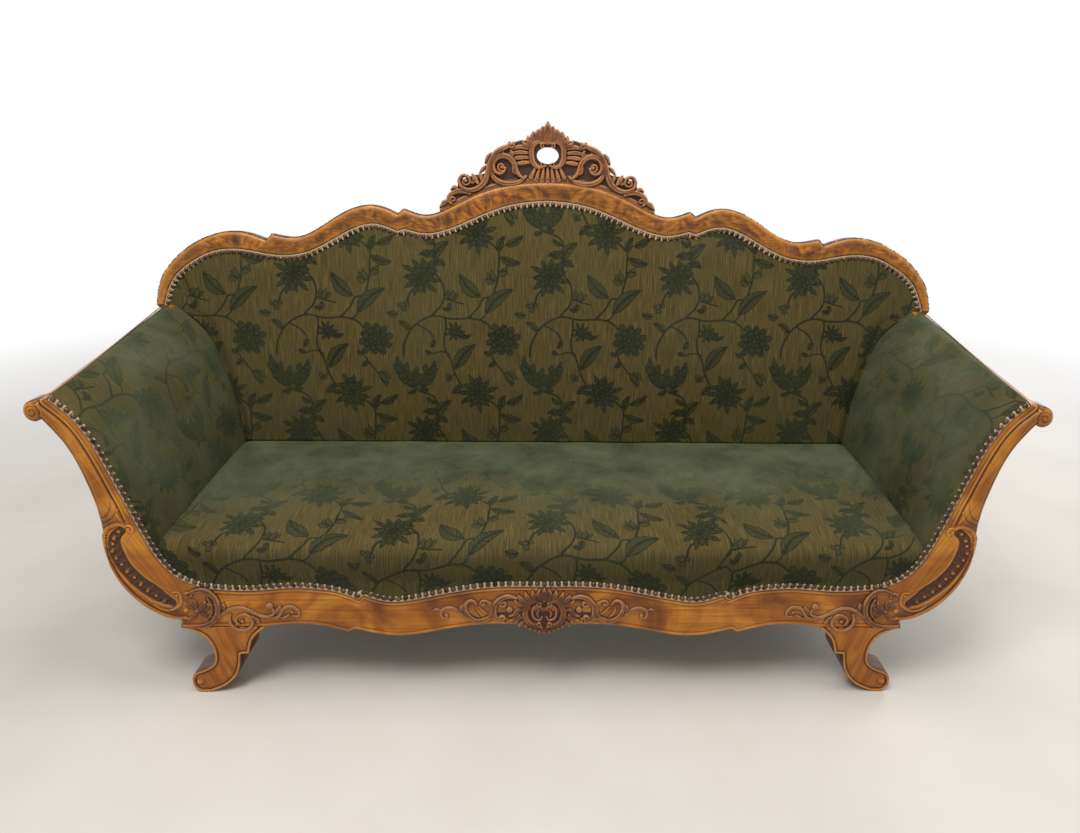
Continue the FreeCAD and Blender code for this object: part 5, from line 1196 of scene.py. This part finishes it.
def vineRaster():
    # The signed distance to the figure on a one-millimetre raster, folded into one repeat: each part is laid
    # over the earlier ones, with a line of zero distance between them that the cloth shows as a dark outline.
    # The second raster says where a flower is.
    x, z = np.meshgrid(np.arange(-470, -40), np.arange(420, 1060), indexing="ij")
    size = (tile["wide"], tile["high"])
    folded, bloom = np.full(size, -9.0), np.zeros(size)
    for part in vineParts():
        line, wide = part["line"], part["half"]
        near = closeTo(line, x, z, max(wide) + 7)
        d, s = nearest(line, x[near].astype(float), z[near].astype(float))
        value = np.interp(s, np.linspace(0, 1, len(wide)), wide) - d
        shown = np.minimum(value, np.maximum(d - 0.2, 0) * 0.9) if part.get("vein") else value
        if part.get("sides"):
            slant = (s * part["sides"] * 2 - d / 6.0) % 1.0
            shown = np.where(d > 1.5, np.minimum(shown, 0.4 + np.abs(slant - 0.5) * 9), shown)
        at = (x[near] % size[0], z[near] % size[1])
        before = folded[at]
        beyond = np.where(before > 0, np.minimum(before, -value), np.maximum(before, value))
        folded[at] = np.where(value > 0, shown, beyond)
        bloom[at] = np.where(value > 0, part.get("bloom", 0.0), bloom[at])
    return np.clip(folded, -tile["clip"], tile["clip"]), bloom


vine, blooms = vineRaster()


def tileAt(raster, u, v):
    # The raster read between its points, repeated both ways.
    i, j = np.floor(u).astype(int), np.floor(v).astype(int)
    fu, fv = u - i, v - j
    a, b = i % tile["wide"], (i + 1) % tile["wide"]
    c, d = j % tile["high"], (j + 1) % tile["high"]
    lower = raster[a, c] * (1 - fu) + raster[b, c] * fu
    upper = raster[a, d] * (1 - fu) + raster[b, d] * fu
    return lower * (1 - fv) + upper * fv


def woven(u, v, sheenAndShade):
    # What the jacquard reads at each point: the figure's signed distance, whether it is a flower, the painted
    # sheen and shade.
    return {"figure": tileAt(vine, u, v), "bloom": tileAt(blooms, u, v), "sheenAndShade": sheenAndShade}


print("vine drawn")


def splineBasis(count, samples):
    # Rows of weights that carry evenly spaced control points to a natural cubic spline.
    eye = np.eye(count)
    a, r = np.eye(count), np.zeros((count, count))
    i = np.arange(1, count - 1)
    a[i, i - 1], a[i, i], a[i, i + 1] = 1, 4, 1
    r[i] = 6 * (eye[i + 1] - 2 * eye[i] + eye[i - 1])
    m = np.linalg.solve(a, r)
    t = np.linspace(0, count - 1, samples)
    k = np.clip(t.astype(int), 0, count - 2)
    u = (t - k)[:, None]
    return (eye[k] + u * (eye[k + 1] - eye[k] - (2 * m[k] + m[k + 1]) / 6) + u ** 2 * m[k] / 2
            + u ** 3 * (m[k + 1] - m[k]) / 6)


def quadratic(a, b, c, samples, last=False):
    # The parabola through three points, given as arrays of shape (..., 2), with or without its last point.
    t = np.linspace(0, 1, samples + (0 if last else 1))[:samples].reshape(1, -1, 1)
    a, b, c = a[:, None], b[:, None], c[:, None]
    return a * (1 - t) * (1 - 2 * t) + b * 4 * t * (1 - t) + c * t * (2 * t - 1)


def waves(u, v, size):
    # Soft unevenness: a few crossed sines.
    return size * (np.sin(u / 61.0 + 1.3 * np.sin(v / 83.0)) + 0.7 * np.sin(v / 47.0 + 1.1 * np.sin(u / 71.0))
                   + 0.5 * np.sin((u + v) / 39.0) + 0.4 * np.sin((u - 1.4 * v) / 29.0)) / 2.6


# seat

seatLook = {"half": 841.5, "ridge": 372.0, "backTop": 413.0, "crown": 16.0, "bulge": 7.0, "rear": 204.0,
            "step": 2.8, "patternShift": 250.0, "faceTop": 296.0, "ledge": 304.0, "floor": 350.5,
            "railBack": -292.0, "lip": -339.6, "shade": 0.9}


def makeSeat():
    # Rows along x of one closed profile: an upright face above the rail, a rolled front edge, a crowned top,
    # then the rear, the floor and the ledge on the rail. A painted sheen of the nap hides the pattern towards
    # the back, and painted shade darkens the upright face.
    x = np.linspace(-seatLook["half"], seatLook["half"], int(2 * seatLook["half"] / seatLook["step"]))
    end = np.abs(x) / seatLook["half"]
    front, rear, ridge = body["coverY"], seatLook["rear"], seatLook["ridge"]
    low = heightOn(frontShow, x) + 1.5
    start = seatLook["faceTop"] + (ridge - 324) * np.clip((end - 0.85) / 0.15, 0, 1)
    start = np.minimum(np.maximum(start, low + 3), ridge - 9)
    bulge = seatLook["bulge"] * (1 - 1.4 * end ** 4)
    crown = seatLook["crown"] * (1 - 0.75 * end ** 4)
    low = np.minimum(low, start - 1)

    def at(y, z):
        return np.stack([np.broadcast_to(y, x.shape), np.broadcast_to(z, x.shape)], axis=1).astype(float)

    a, b = at(front, low), at(front, start)
    c, d = at(front - bulge, (start + ridge) / 2 + 2), at(front + 4, ridge - 4)
    e, f = at(front + 14, ridge + 6), at(front + 30, ridge + 13)
    g = at((front + rear) / 2, (ridge + 13 + seatLook["backTop"]) / 2 + crown)
    h = at(rear, seatLook["backTop"])
    top = np.concatenate([quadratic(a, (a + b) / 2, b, 14), quadratic(b, c, d, 26), quadratic(d, e, f, 12),
                          quadratic(f, g, h, 200, True)], axis=1)
    run = travelled(top)
    xx = np.repeat(x[:, None], top.shape[1], 1)
    toSide, toBack = seatLook["half"] - np.abs(xx), rear - top[:, :, 0]
    onTop = eased(top[:, :, 1], ridge - 6, ridge + 8)
    top[:, :, 1] += onTop * (waves(xx, top[:, :, 0], 1.3) - 5.0 * (1 - eased(toSide, 0, 20)) ** 2
                             - 6.0 * (1 - eased(toBack, 0, 20)) ** 2)
    onFace = (1 - onTop) * eased(top[:, :, 1], low[:, None] + 8, low[:, None] + 34)
    top[:, :, 0] += onFace * waves(xx, run, 0.8)
    railBack, floor, ledge = seatLook["railBack"], seatLook["floor"], np.maximum(seatLook["ledge"], low + 3)
    under = [at(rear, 392), at(rear - 4, floor), at(railBack, floor), at(railBack, ledge),
             at(seatLook["lip"], ledge), at(seatLook["lip"] - 0.6, np.maximum(low + 0.5, 250))]
    loops = np.concatenate([top] + [point[:, None] for point in under], axis=1)
    columns = loops.shape[1]
    points = np.concatenate([np.repeat(x[:, None], columns, 1)[:, :, None], loops], axis=2)
    v = np.concatenate([run, np.repeat(run[:, -1:], columns - run.shape[1], 1)], axis=1)
    u, v = points[:, :, 0], v + seatLook["patternShift"]
    deep = loops[:, :, 0] - front
    # painted sheen of the nap grows towards the back and near the ends; painted shade darkens the face below the
    # ridge
    sheenAndShade = 0.95 * eased(deep + 30 * np.sin(u / 170.0) + 22 * np.sin(u / 67.0 + 1), 60, 330)
    sheenAndShade = np.maximum(sheenAndShade, 0.35 * eased(np.abs(u), 640, 840) * eased(deep, 10, 60))
    below = 1 - eased(loops[:, :, 1], ridge - 26, ridge + 4)
    sheenAndShade = sheenAndShade - seatLook["shade"] * below * (1 - eased(deep, 10, 40))
    return loopPiece("seatPad", points, np.stack([u, v], axis=2), woven(u, v, sheenAndShade), top.shape[1],
                     material=jacquard, slot="jacquard", replaced=["seat_cover", "seat_stuffing"], fill=0.85)


makeSeat()
print("seat made")

# arm pads

armLook = {"foot": 364.0, "wrap": 16.0, "crown": 6.0, "inner": 843.0, "rear": 336.5, "length": 590.0,
           "up": 170, "over": 14, "step": 2.6, "edge": (1003.0, 713.5), "edgeRun": (41.0, 71.0),
           "turnIn": 9.0,
           "outerLow": 380.0, "outerHigh": 713.0, "webLow": (881.0, 379.7), "webHigh": (998.5, 702.2),
           "webRun": (10.0, 71.0), "railStart": 43.5, "railLength": 625.0, "beside": 46.0}
armRear = [(843.0, 364.0), (861.3, 520.1), (899.1, 640.1), (935.1, 718.0), (1005.0, 778.9)]
# how much painted sheen of the nap hides each arm's pattern: its middle value, how much less near the front,
# how patchy, and its limits
armSheen = {"right": (0.76, 0.5, 0.17, 0.15, 0.92), "left": (0.64, 0.38, 0.19, 0.12, 0.85)}


def armFrontPoints():
    # The cover's outline at the front, beside the facing's own, and square to the seat at its foot.
    line = sideways(armShow, armLook["wrap"])
    topX, topZ = line[-1]
    z = armLook["foot"] + (topZ - armLook["foot"]) * np.array([0, 0.27, 0.55, 0.82])
    points = np.stack([np.interp(z, line[:, 1], line[:, 0]), z], axis=1)
    points[0] = (armLook["inner"], armLook["foot"])
    return np.concatenate([points, [[topX, topZ]]])


def armEdge(share):
    # The arm's outer top edge, a straight line rising to the rear.
    return np.array(armLook["edge"]) + share[:, None] * np.array(armLook["edgeRun"])


def makeArm(side, mirror):
    # A loop for every step from front to rear: a smooth curve up the inside, between the front outline and
    # the rear one, over to the outer edge, and down the outside beside the facing or along the webbing.
    basis = splineBasis(5, armLook["up"])
    front = body["coverY"]
    a = np.linspace(0, 1, int(armLook["length"] / armLook["step"]))
    a = np.concatenate([[0, 0.0012, 0.003], a[1:] * 0.997 + 0.003])
    back = a * armLook["length"]
    share = back / (armLook["rear"] - front)
    ramped = share[:, None, None]
    lean = np.zeros((5, 2))
    lean[:, 0] = -np.array([0, 0.6, 1, 0.6, 0])
    crown = armLook["crown"] * 4 * ramped * (1 - ramped)
    keys = armFrontPoints()[None] * (1 - ramped) + np.array(armRear)[None] * ramped + crown * lean[None]
    inner = np.einsum("ck,rkd->rcd", basis, keys)
    edge = armEdge(share)
    last = inner[:, -1]
    over = quadratic(last, (last + edge) / 2 + (0.0, 4.0), edge, armLook["over"] + 1, True)[:, 1:]
    top = np.concatenate([inner, over], axis=1)
    # near the front the face turns in under the braid
    normal = np.gradient(top, axis=1)
    normal = normal / np.linalg.norm(normal, axis=2, keepdims=True)
    normal = np.stack([normal[:, :, 1], -normal[:, :, 0]], axis=2)
    short = 1 - np.clip(back / armLook["turnIn"], 0, 1)
    turnIn = armLook["turnIn"] * (1 - np.sqrt(np.clip(1 - short ** 2, 0, 1)))
    climb = np.linspace(0, 1, top.shape[1])
    soften = eased(climb, 0.0, 0.05) * (1 - eased(climb, 0.93, 1.0))
    top = top + normal * turnIn[:, None, None] * soften[None, :, None]
    z = np.linspace(0, 1, 40)
    level = armLook["outerLow"] + (armLook["outerHigh"] - armLook["outerLow"]) * z
    shown = np.stack([np.interp(level, armShow[:, 1], armShow[:, 0]) - 0.6, level], axis=1)
    railShare = np.clip((back - armLook["railStart"]) / armLook["railLength"], 0, 1)
    high = armLook["webHigh"] + railShare[:, None] * np.array(armLook["webRun"])
    web = np.array(armLook["webLow"]) * (1 - z[None, :, None]) + high[:, None] * z[None, :, None]
    outer = np.where((back < armLook["beside"])[:, None, None], shown[None], web)
    loops = np.concatenate([top, outer[:, ::-1]], axis=1)
    far = body["backY"] + (loops[:, :, 1] - body["pivotZ"]) * math.tan(body["rake"]) + 2.0
    y = front + a[:, None] * (far - front)
    points = np.stack([loops[:, :, 0], y, loops[:, :, 1]], axis=2)
    run = travelled(loops)
    visible = np.zeros(loops.shape[1])
    visible[:top.shape[1]] = eased(climb, 0, 0.06) * (1 - eased(climb, 0.9, 1))
    points[:, :, 0] += visible * waves(y, run, 1.2) * eased(back, 6, 40)[:, None]
    u = (y + 700) if mirror else (200 - y)
    v = run + 420
    # patches of painted sheen of the nap, less up at the front and least right at the front edge
    patch = np.sin(y / 90.0 + 1.0) * np.sin(run / 75.0 + (2.0 if mirror else 0.4))
    patch += 0.8 * np.sin(y / 41.0 + run / 60.0) * np.sin(run / 37.0 - y / 85.0)
    middle, less, patchy, least, most = armSheen[side]
    upFront = (1 - eased(back, 30, 240)[:, None]) * eased(run, 250, 400)
    sheenAndShade = np.clip(middle - less * upFront + patchy * patch, least, most)
    sheenAndShade = sheenAndShade * (0.55 + 0.45 * eased(back, 0, 60)[:, None])
    return loopPiece(side + "ArmPad", points, np.stack([u, v], axis=2), woven(u, v, sheenAndShade), top.shape[1],
                     mirror, material=jacquard, slot="jacquard",
                     replaced=[side + "_arm_cover", side + "_arm_stuffing"], fill=0.8)


for side, mirror in hands:
    makeArm(side, mirror)
print("arm pads made")

# back

backLook = {"step": 2.8, "crown": 30.0, "swell": 16.0, "low": -58.0, "start": -47.0, "gap": 1.2, "up": 238,
            "foot": 402.0, "head": 782.0, "tuck": 16.0, "reach": 1059.0, "edge": 1.4, "rear": 2.7}
rearLine = splineBasis(5, 120) @ np.array(armRear)


def makeBack():
    # Columns from the seat up to the crest rail, in the raked plane: a crowned face that is fuller at its
    # foot, drawn in beside the arms, and a flat rear on the webbing.
    line = evenly(bothSides(crestShow), backLook["step"])
    s = line[:, 0] / line[-1, 0]
    t = np.linspace(0, 1, backLook["up"])
    foot, head, start = backLook["foot"], backLook["head"], backLook["start"]
    sideZ = foot + t * (head - foot)
    wide = np.interp(sideZ, rearLine[:, 1], rearLine[:, 0]) - backLook["gap"]
    wide = wide + (line[-1, 0] - wide) * eased(sideZ, head - 30, head)
    x = s[:, None] * wide[None, :]
    topV = line[:, 1][:, None]
    v = start + t[None, :] * (topV - start)
    shown = topV - backLook["tuck"]
    q = np.clip((v - backLook["low"]) / (shown - backLook["low"]), 0, 1)
    bow = 1 - (x / backLook["reach"]) ** 4
    face = -backLook["swell"] * (1 - q) * (1 - 2 * q) - backLook["crown"] * bow * 4 * q * (1 - q)
    face = face + backLook["edge"] * q * (2 * q - 1)
    toSide = (1 - np.abs(s))[:, None] * wide[None, :]
    face = face + 9.0 * (1 - eased(toSide, 0, 26)) ** 2 * (1 - eased(v, 285, 325))
    face = face + 5.0 * (1 - eased(v, start, start + 7)) ** 2
    face = face + waves(x, v, 1.2) * eased(shown - v, 6, 60) * eased(v, -30, 10)
    face = np.minimum(face, backLook["edge"])
    hidden = np.linspace(1, 0, 14)
    hiddenX = s[:, None] * np.interp(foot + hidden * (head - foot), sideZ, wide)[None]
    hiddenV = start + hidden[None] * (topV - start)
    points = np.stack([np.concatenate([x, hiddenX], 1),
                       np.concatenate([face, np.full(hiddenX.shape, backLook["rear"])], 1),
                       np.concatenate([v, hiddenV], 1)], axis=2)
    u, z = points[:, :, 0], points[:, :, 2] / body["slope"] + body["pivotZ"]
    # painted sheen of the nap low on the back and towards its ends
    sheenAndShade = 0.10 * (1 - eased(z, 415, 520)) + 0.12 * eased(np.abs(u), 700, 1000)
    return loopPiece("backPad", leaned(points), np.stack([u, z], axis=2), woven(u, z, sheenAndShade), len(t),
                     material=jacquard, slot="jacquard", replaced=["back_cover", "back_stuffing"], fill=0.85)


makeBack()
print("back made")

# seat springs

springLook = {"perRow": 8, "rows": 3, "pitchX": 180.0, "pitchY": 140.0, "outer": 48.0, "waist": 33.0,
              "wire": 2.0, "turns": 5, "steps": 120, "sides": 8}


def makeSprings():
    # A waisted coil: a round wire along a helix whose radius is least at half height, repeated in rows.
    low, high = (np.array(corner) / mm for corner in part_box("seat_springs"))
    wire, count, steps = springLook["wire"], springLook["sides"], springLook["steps"]
    share = np.linspace(0, 1, steps + 1)
    radius = springLook["waist"] + (springLook["outer"] - springLook["waist"]) * (2 * share - 1) ** 2
    angle = 2 * math.pi * springLook["turns"] * share
    height = low[2] + wire + (high[2] - low[2] - 2 * wire) * share
    path = np.stack([radius * np.cos(angle), radius * np.sin(angle), height], axis=1)
    along = np.gradient(path, axis=0)
    across = np.cross(along, (0.0, 0.0, 1.0))
    across /= np.linalg.norm(across, axis=1)[:, None]
    up = np.cross(across, along)
    up /= np.linalg.norm(up, axis=1)[:, None]
    ring = np.linspace(0, 2 * math.pi, count, endpoint=False)[None, :, None]
    coil = (path[:, None] + wire * (np.cos(ring) * across[:, None] + np.sin(ring) * up[:,
                                                                                       None])).reshape(-1,
                                                                                                       3)
    cap = np.arange(count)[None]
    faces = outward(coil, [quads(steps + 1, count), cap, cap[:, ::-1] + steps * count])
    perRow, rows = springLook["perRow"], springLook["rows"]
    columns = springLook["pitchX"] * (np.arange(perRow) - (perRow - 1) / 2)
    lines = (low[1] + high[1]) / 2 + springLook["pitchY"] * (np.arange(rows) - (rows - 1) / 2)
    points, faces = repeated(coil, faces, np.array([(x, y, 0.0) for x in columns for y in lines]))
    meshPiece("seatSprings", points, faces, material=springSteel, slot="steel_wire",
              replaced=["seat_springs"])


makeSprings()
print("springs made")

# braid and nails

braidLook = {"near": 0.8, "wide": 13.6, "thick": 1.7, "scallop": 1.0, "barRise": 0.5, "pitch": 15.6,
             "step": 1.9, "twist": 0.2, "twistPitch": 5.2}
# across the braid: how far along its width, how thick, and how much of a bar is raised there
braidAcross = np.array([0.0, 0.06, 0.16, 0.26, 0.34, 0.44, 0.58, 0.72, 0.84, 0.95, 1.0])
braidThick = np.array([0.0, 0.75, 1.0, 0.8, 0.4, 0.35, 0.35, 0.35, 0.35, 0.3, 0.0])
braidBar = np.array([0, 0, 0, 0, 0, 0.7, 1.0, 1.0, 1.0, 0.8, 0])
nailLook = {"at": 9.0, "radius": 5.4, "rise": 3.2, "seat": 0.2, "round": 12, "step": 2.6}
nailLift = np.array([0.0, 0.25, 0.62, 0.9])
nailShare = np.array([1.0, 1.0, 0.82, 0.45])


def nailRow(line, side):
    # The line the nails stand on, and how many evenly spaced nails it takes.
    row = sideways(evenly(line, nailLook["step"]), side * nailLook["at"])
    return row, int(round(travelled(row)[-1] / braidLook["pitch"]))


def makeBraid(name, line, side, seated, replaced):
    # A flat braid beside the wood: a cord, then a web with raised bars between the nails, its far edge
    # scalloped.
    count = nailRow(line, side)[1]
    line = evenly(line, braidLook["step"])
    run = travelled(line)
    run = run / run[-1] * count * braidLook["pitch"]
    bar = np.clip(np.cos(2 * math.pi * run / braidLook["pitch"]), 0, 1)
    rise = braidThick * braidLook["thick"] + 0.2
    raised = braidBar * braidLook["barRise"]
    reach = braidLook["wide"] + braidLook["scallop"] * bar
    base = sideways(line, side * braidLook["near"])
    way = side * (sideways(line, 1.0) - line)
    flat = base[:, None] + way[:, None] * (braidAcross[None, :, None] * reach[:, None, None])
    turned = np.sin(run * 2 * math.pi / braidLook["twistPitch"])
    twist = braidLook["twist"] * turned[:, None] * (rise > 1.0)[None]
    front = np.stack([flat[:, :, 0], 1.45 - rise[None] - twist - raised[None] * bar[:, None],
                      flat[:, :, 1]], axis=2)
    under = flat[:, ::-5]
    back = np.stack([under[:, :, 0], np.full(under.shape[:2], 1.7), under[:, :, 1]], axis=2)
    loops = np.concatenate([front, back], axis=1)
    u = np.repeat(run[:, None], loops.shape[1], 1)
    v = np.repeat(np.concatenate([braidAcross, braidAcross[::-5]])[None] * 15, len(run), 0)
    return loopPiece(name, seated(loops), np.stack([u, v], axis=2), None, len(braidAcross), material=gimp,
                     slot="gimp_braid", replaced=replaced)


def makeNails(name, line, side, seated, replaced):
    # Domed heads: rings of a dome on a short rim, placed evenly along the line.
    row, count = nailRow(line, side)
    row = evenly(row, count=2 * count + 1)[1::2]
    sectors, rings, seat = nailLook["round"], len(nailLift), nailLook["seat"]
    a = 2 * math.pi * np.arange(sectors) / sectors
    radius = nailShare * nailLook["radius"]
    lift = np.repeat(nailLift[:, None] * nailLook["rise"], sectors, 1)
    ring = np.stack([radius[:, None] * np.cos(a), seat - lift, radius[:, None] * np.sin(a)],
                    axis=2).reshape(-1, 3)
    one = np.concatenate([ring, [(0, seat - nailLook["rise"], 0), (0, seat, 0)]])
    k = np.arange(sectors)
    after, top = (k + 1) % sectors, (rings - 1) * sectors
    tip = np.stack([top + k, top + after, np.full(sectors, len(one) - 2)], axis=1)
    foot = np.stack([after, k, np.full(sectors, len(one) - 1)], axis=1)
    places = np.stack([row[:, 0], np.zeros(len(row)), row[:, 1]], axis=1)
    points, faces = repeated(one, (quads(rings, sectors), tip, foot), places)
    points = seated(points)
    return meshPiece(name, points, outward(points, faces), material=nailBrass, slot="antique_brass",
                     replaced=replaced)


nailed = [("front", bothSides(railShow), 1.0, onFront), ("rightArm", armShow, 1.0, onFront),
          ("leftArm", armShow * (-1, 1), -1.0, onFront), ("back", bothSides(crestShow), -1.0, leaned)]
for name, line, way, seated in nailed:
    nodeName = name.replace("Arm", "_arm")
    makeBraid(name + "Braid", line, way, seated, [nodeName + "_braid"])
    makeNails(name + "Nails", line, way, seated, [nodeName + "_nails"])


tapeLook = {"reach": 0.86, "steps": 220, "shift": (4.0, -1.5), "wide": 6.5, "high": 1.8,
            "tilt": math.radians(-38), "sides": 12, "length": 680.0}


def makeArmEdge(side, mirror):
    # A narrow cord-edged tape along the arm's outer top edge, where the inside cover ends.
    share = np.linspace(0, tapeLook["reach"], tapeLook["steps"])
    y = body["coverY"] + share * (armLook["rear"] - body["coverY"]) + 1.0
    edge = armEdge(share) + tapeLook["shift"]
    count, tilt = tapeLook["sides"], tapeLook["tilt"]
    a = np.linspace(0, 2 * math.pi, count, endpoint=False)
    across, high = tapeLook["wide"] * np.cos(a), tapeLook["high"] * np.sin(a)
    cx = across * math.cos(tilt) - high * math.sin(tilt)
    cz = across * math.sin(tilt) + high * math.cos(tilt)
    points = np.stack([edge[:, :1] + cx[None], np.repeat(y[:, None], count, 1), edge[:, 1:] + cz[None]],
                      axis=2)
    u = np.repeat((share * tapeLook["length"])[:, None], count, 1)
    v = np.repeat((2.5 + 1.5 * np.sin(a))[None], len(share), 0)
    return loopPiece(side + "ArmEdgeTape", points, np.stack([u, v], axis=2), None, count // 2, mirror,
                     material=gimp, slot="gimp_braid")


for side, mirror in hands:
    makeArmEdge(side, mirror)
print("braid and nails made")

# camera, floor and light

def makeCamera():
    # The photograph's camera, turned by yaw, pitch and roll.
    cy, sy = math.cos(camera["yaw"]), math.sin(camera["yaw"])
    cp, sp = math.cos(camera["pitch"]), math.sin(camera["pitch"])
    cr, sr = math.cos(camera["roll"]), math.sin(camera["roll"])
    yawed = np.array([[cy, -sy, 0], [sy, cy, 0], [0, 0, 1]])
    pitched = np.array([[1, 0, 0], [0, cp, sp], [0, -sp, cp]])
    turn = yawed @ pitched @ np.array([[cr, 0, sr], [0, 1, 0], [-sr, 0, cr]])
    matrix = np.eye(4)
    matrix[:3, :3] = np.stack([turn[:, 0], turn[:, 2], -turn[:, 1]], axis=1)
    matrix[:3, 3] = camera["place"]
    data = bpy.data.cameras.new("camera")
    data.lens, data.sensor_width, data.sensor_fit = camera["lens"], 36.0, "HORIZONTAL"
    data.shift_x, data.shift_y = camera["shiftX"], camera["shiftY"]
    made = bpy.data.objects.new("camera", data)
    bpy.context.scene.collection.objects.link(made)
    made.matrix_world = Matrix(matrix.tolist())
    bpy.context.scene.camera = made


makeCamera()


stage = {"reach": 9.0, "nearEdge": 1.9, "farEdge": 4.2, "rings": 24, "round": 96, "below": 0.2, "world": 0.43}


def makeFloor():
    # A disc of rings, pale by the sofa and running into white far off.
    rings, sectors = stage["rings"], stage["round"]
    r = np.concatenate([[0.001], np.linspace(0.2, 1, rings - 1) ** 1.5 * stage["reach"]]) * 1000
    a = 2 * math.pi * np.arange(sectors) / sectors
    level = np.full((rings, sectors), -stage["below"])
    points = np.stack([r[:, None] * np.cos(a), r[:, None] * np.sin(a), level], axis=2).reshape(-1, 3)
    mesh = bpy.data.meshes.new("floor")
    mesh.from_pydata((points * mm).tolist(), [], quads(rings, sectors).tolist())
    mesh.update()
    floor = bpy.data.objects.new("floor", mesh)
    bpy.context.scene.collection.objects.link(floor)
    material, tree, shader = newMaterial("paleFloor")
    where = mapped(tree, False)
    patch = noise(tree, where, 2.2, 6.0, 0.6)
    tree.links.new(mixed(tree, patch, linear(206, 200, 192), linear(226, 222, 216)),
                   shader.inputs["Base Color"])
    shader.inputs["Roughness"].default_value = 0.7
    far = node(tree, "VectorMath", {0: where}, operation="LENGTH").outputs["Value"]
    path = node(tree, "LightPath")
    seen = sums(tree, "MAXIMUM", path.outputs["Is Camera Ray"], path.outputs["Is Glossy Ray"])
    share = sums(tree, "MULTIPLY", between(tree, far, stage["nearEdge"], stage["farEdge"]), seen)
    glow = node(tree, "Emission", {"Color": (1, 1, 1, 1), "Strength": 1.0})
    both = node(tree, "MixShader", {0: share, 1: shader.outputs[0], 2: glow.outputs[0]})
    out = [n for n in tree.nodes if n.type == "OUTPUT_MATERIAL"][0]
    tree.links.new(both.outputs[0], out.inputs["Surface"])
    mesh.materials.append(material)


def areaLamp(name, where, aim, size, power, colour=(1, 1, 1)):
    data = bpy.data.lights.new(name, "AREA")
    data.shape, data.size, data.energy, data.color = "DISK", size, power, colour
    lamp = bpy.data.objects.new(name, data)
    bpy.context.scene.collection.objects.link(lamp)
    way = np.array(aim, float) - np.array(where, float)
    turn = Vector(way.tolist()).to_track_quat("-Z", "Y")
    lamp.matrix_world = Matrix.Translation(where) @ turn.to_matrix().to_4x4()


def makeLight():
    # A soft even world that the camera sees as white, and three large lamps.
    world = bpy.data.worlds.new("studio")
    world.use_nodes = True
    tree = world.node_tree
    tree.nodes.clear()
    path = node(tree, "LightPath")
    seen = sums(tree, "MAXIMUM", path.outputs["Is Camera Ray"], path.outputs["Is Glossy Ray"])
    seen = sums(tree, "MAXIMUM", seen, path.outputs["Is Transmission Ray"])
    soft = node(tree, "Background", {"Color": (1.0, 0.98, 0.96, 1.0), "Strength": stage["world"]})
    white = node(tree, "Background", {"Color": (1, 1, 1, 1), "Strength": 1.0})
    both = node(tree, "MixShader", {0: seen, 1: soft.outputs[0], 2: white.outputs[0]})
    node(tree, "OutputWorld", {"Surface": both.outputs[0]})
    bpy.context.scene.world = world
    areaLamp("keyLamp", (-0.9, -1.9, 3.7), (0, 0, 0.6), 1.6, 80, (1.0, 0.985, 0.96))
    areaLamp("topLamp", (0.8, -0.3, 3.6), (0, 0, 0.5), 2.2, 50, (1.0, 0.99, 0.97))
    areaLamp("fillLamp", (2.4, 2.6, 2.2), (0, 0, 0.6), 2.0, 40)


makeFloor()
makeLight()
scene = bpy.context.scene
scene.view_settings.view_transform = "Standard"
print("scene complete")
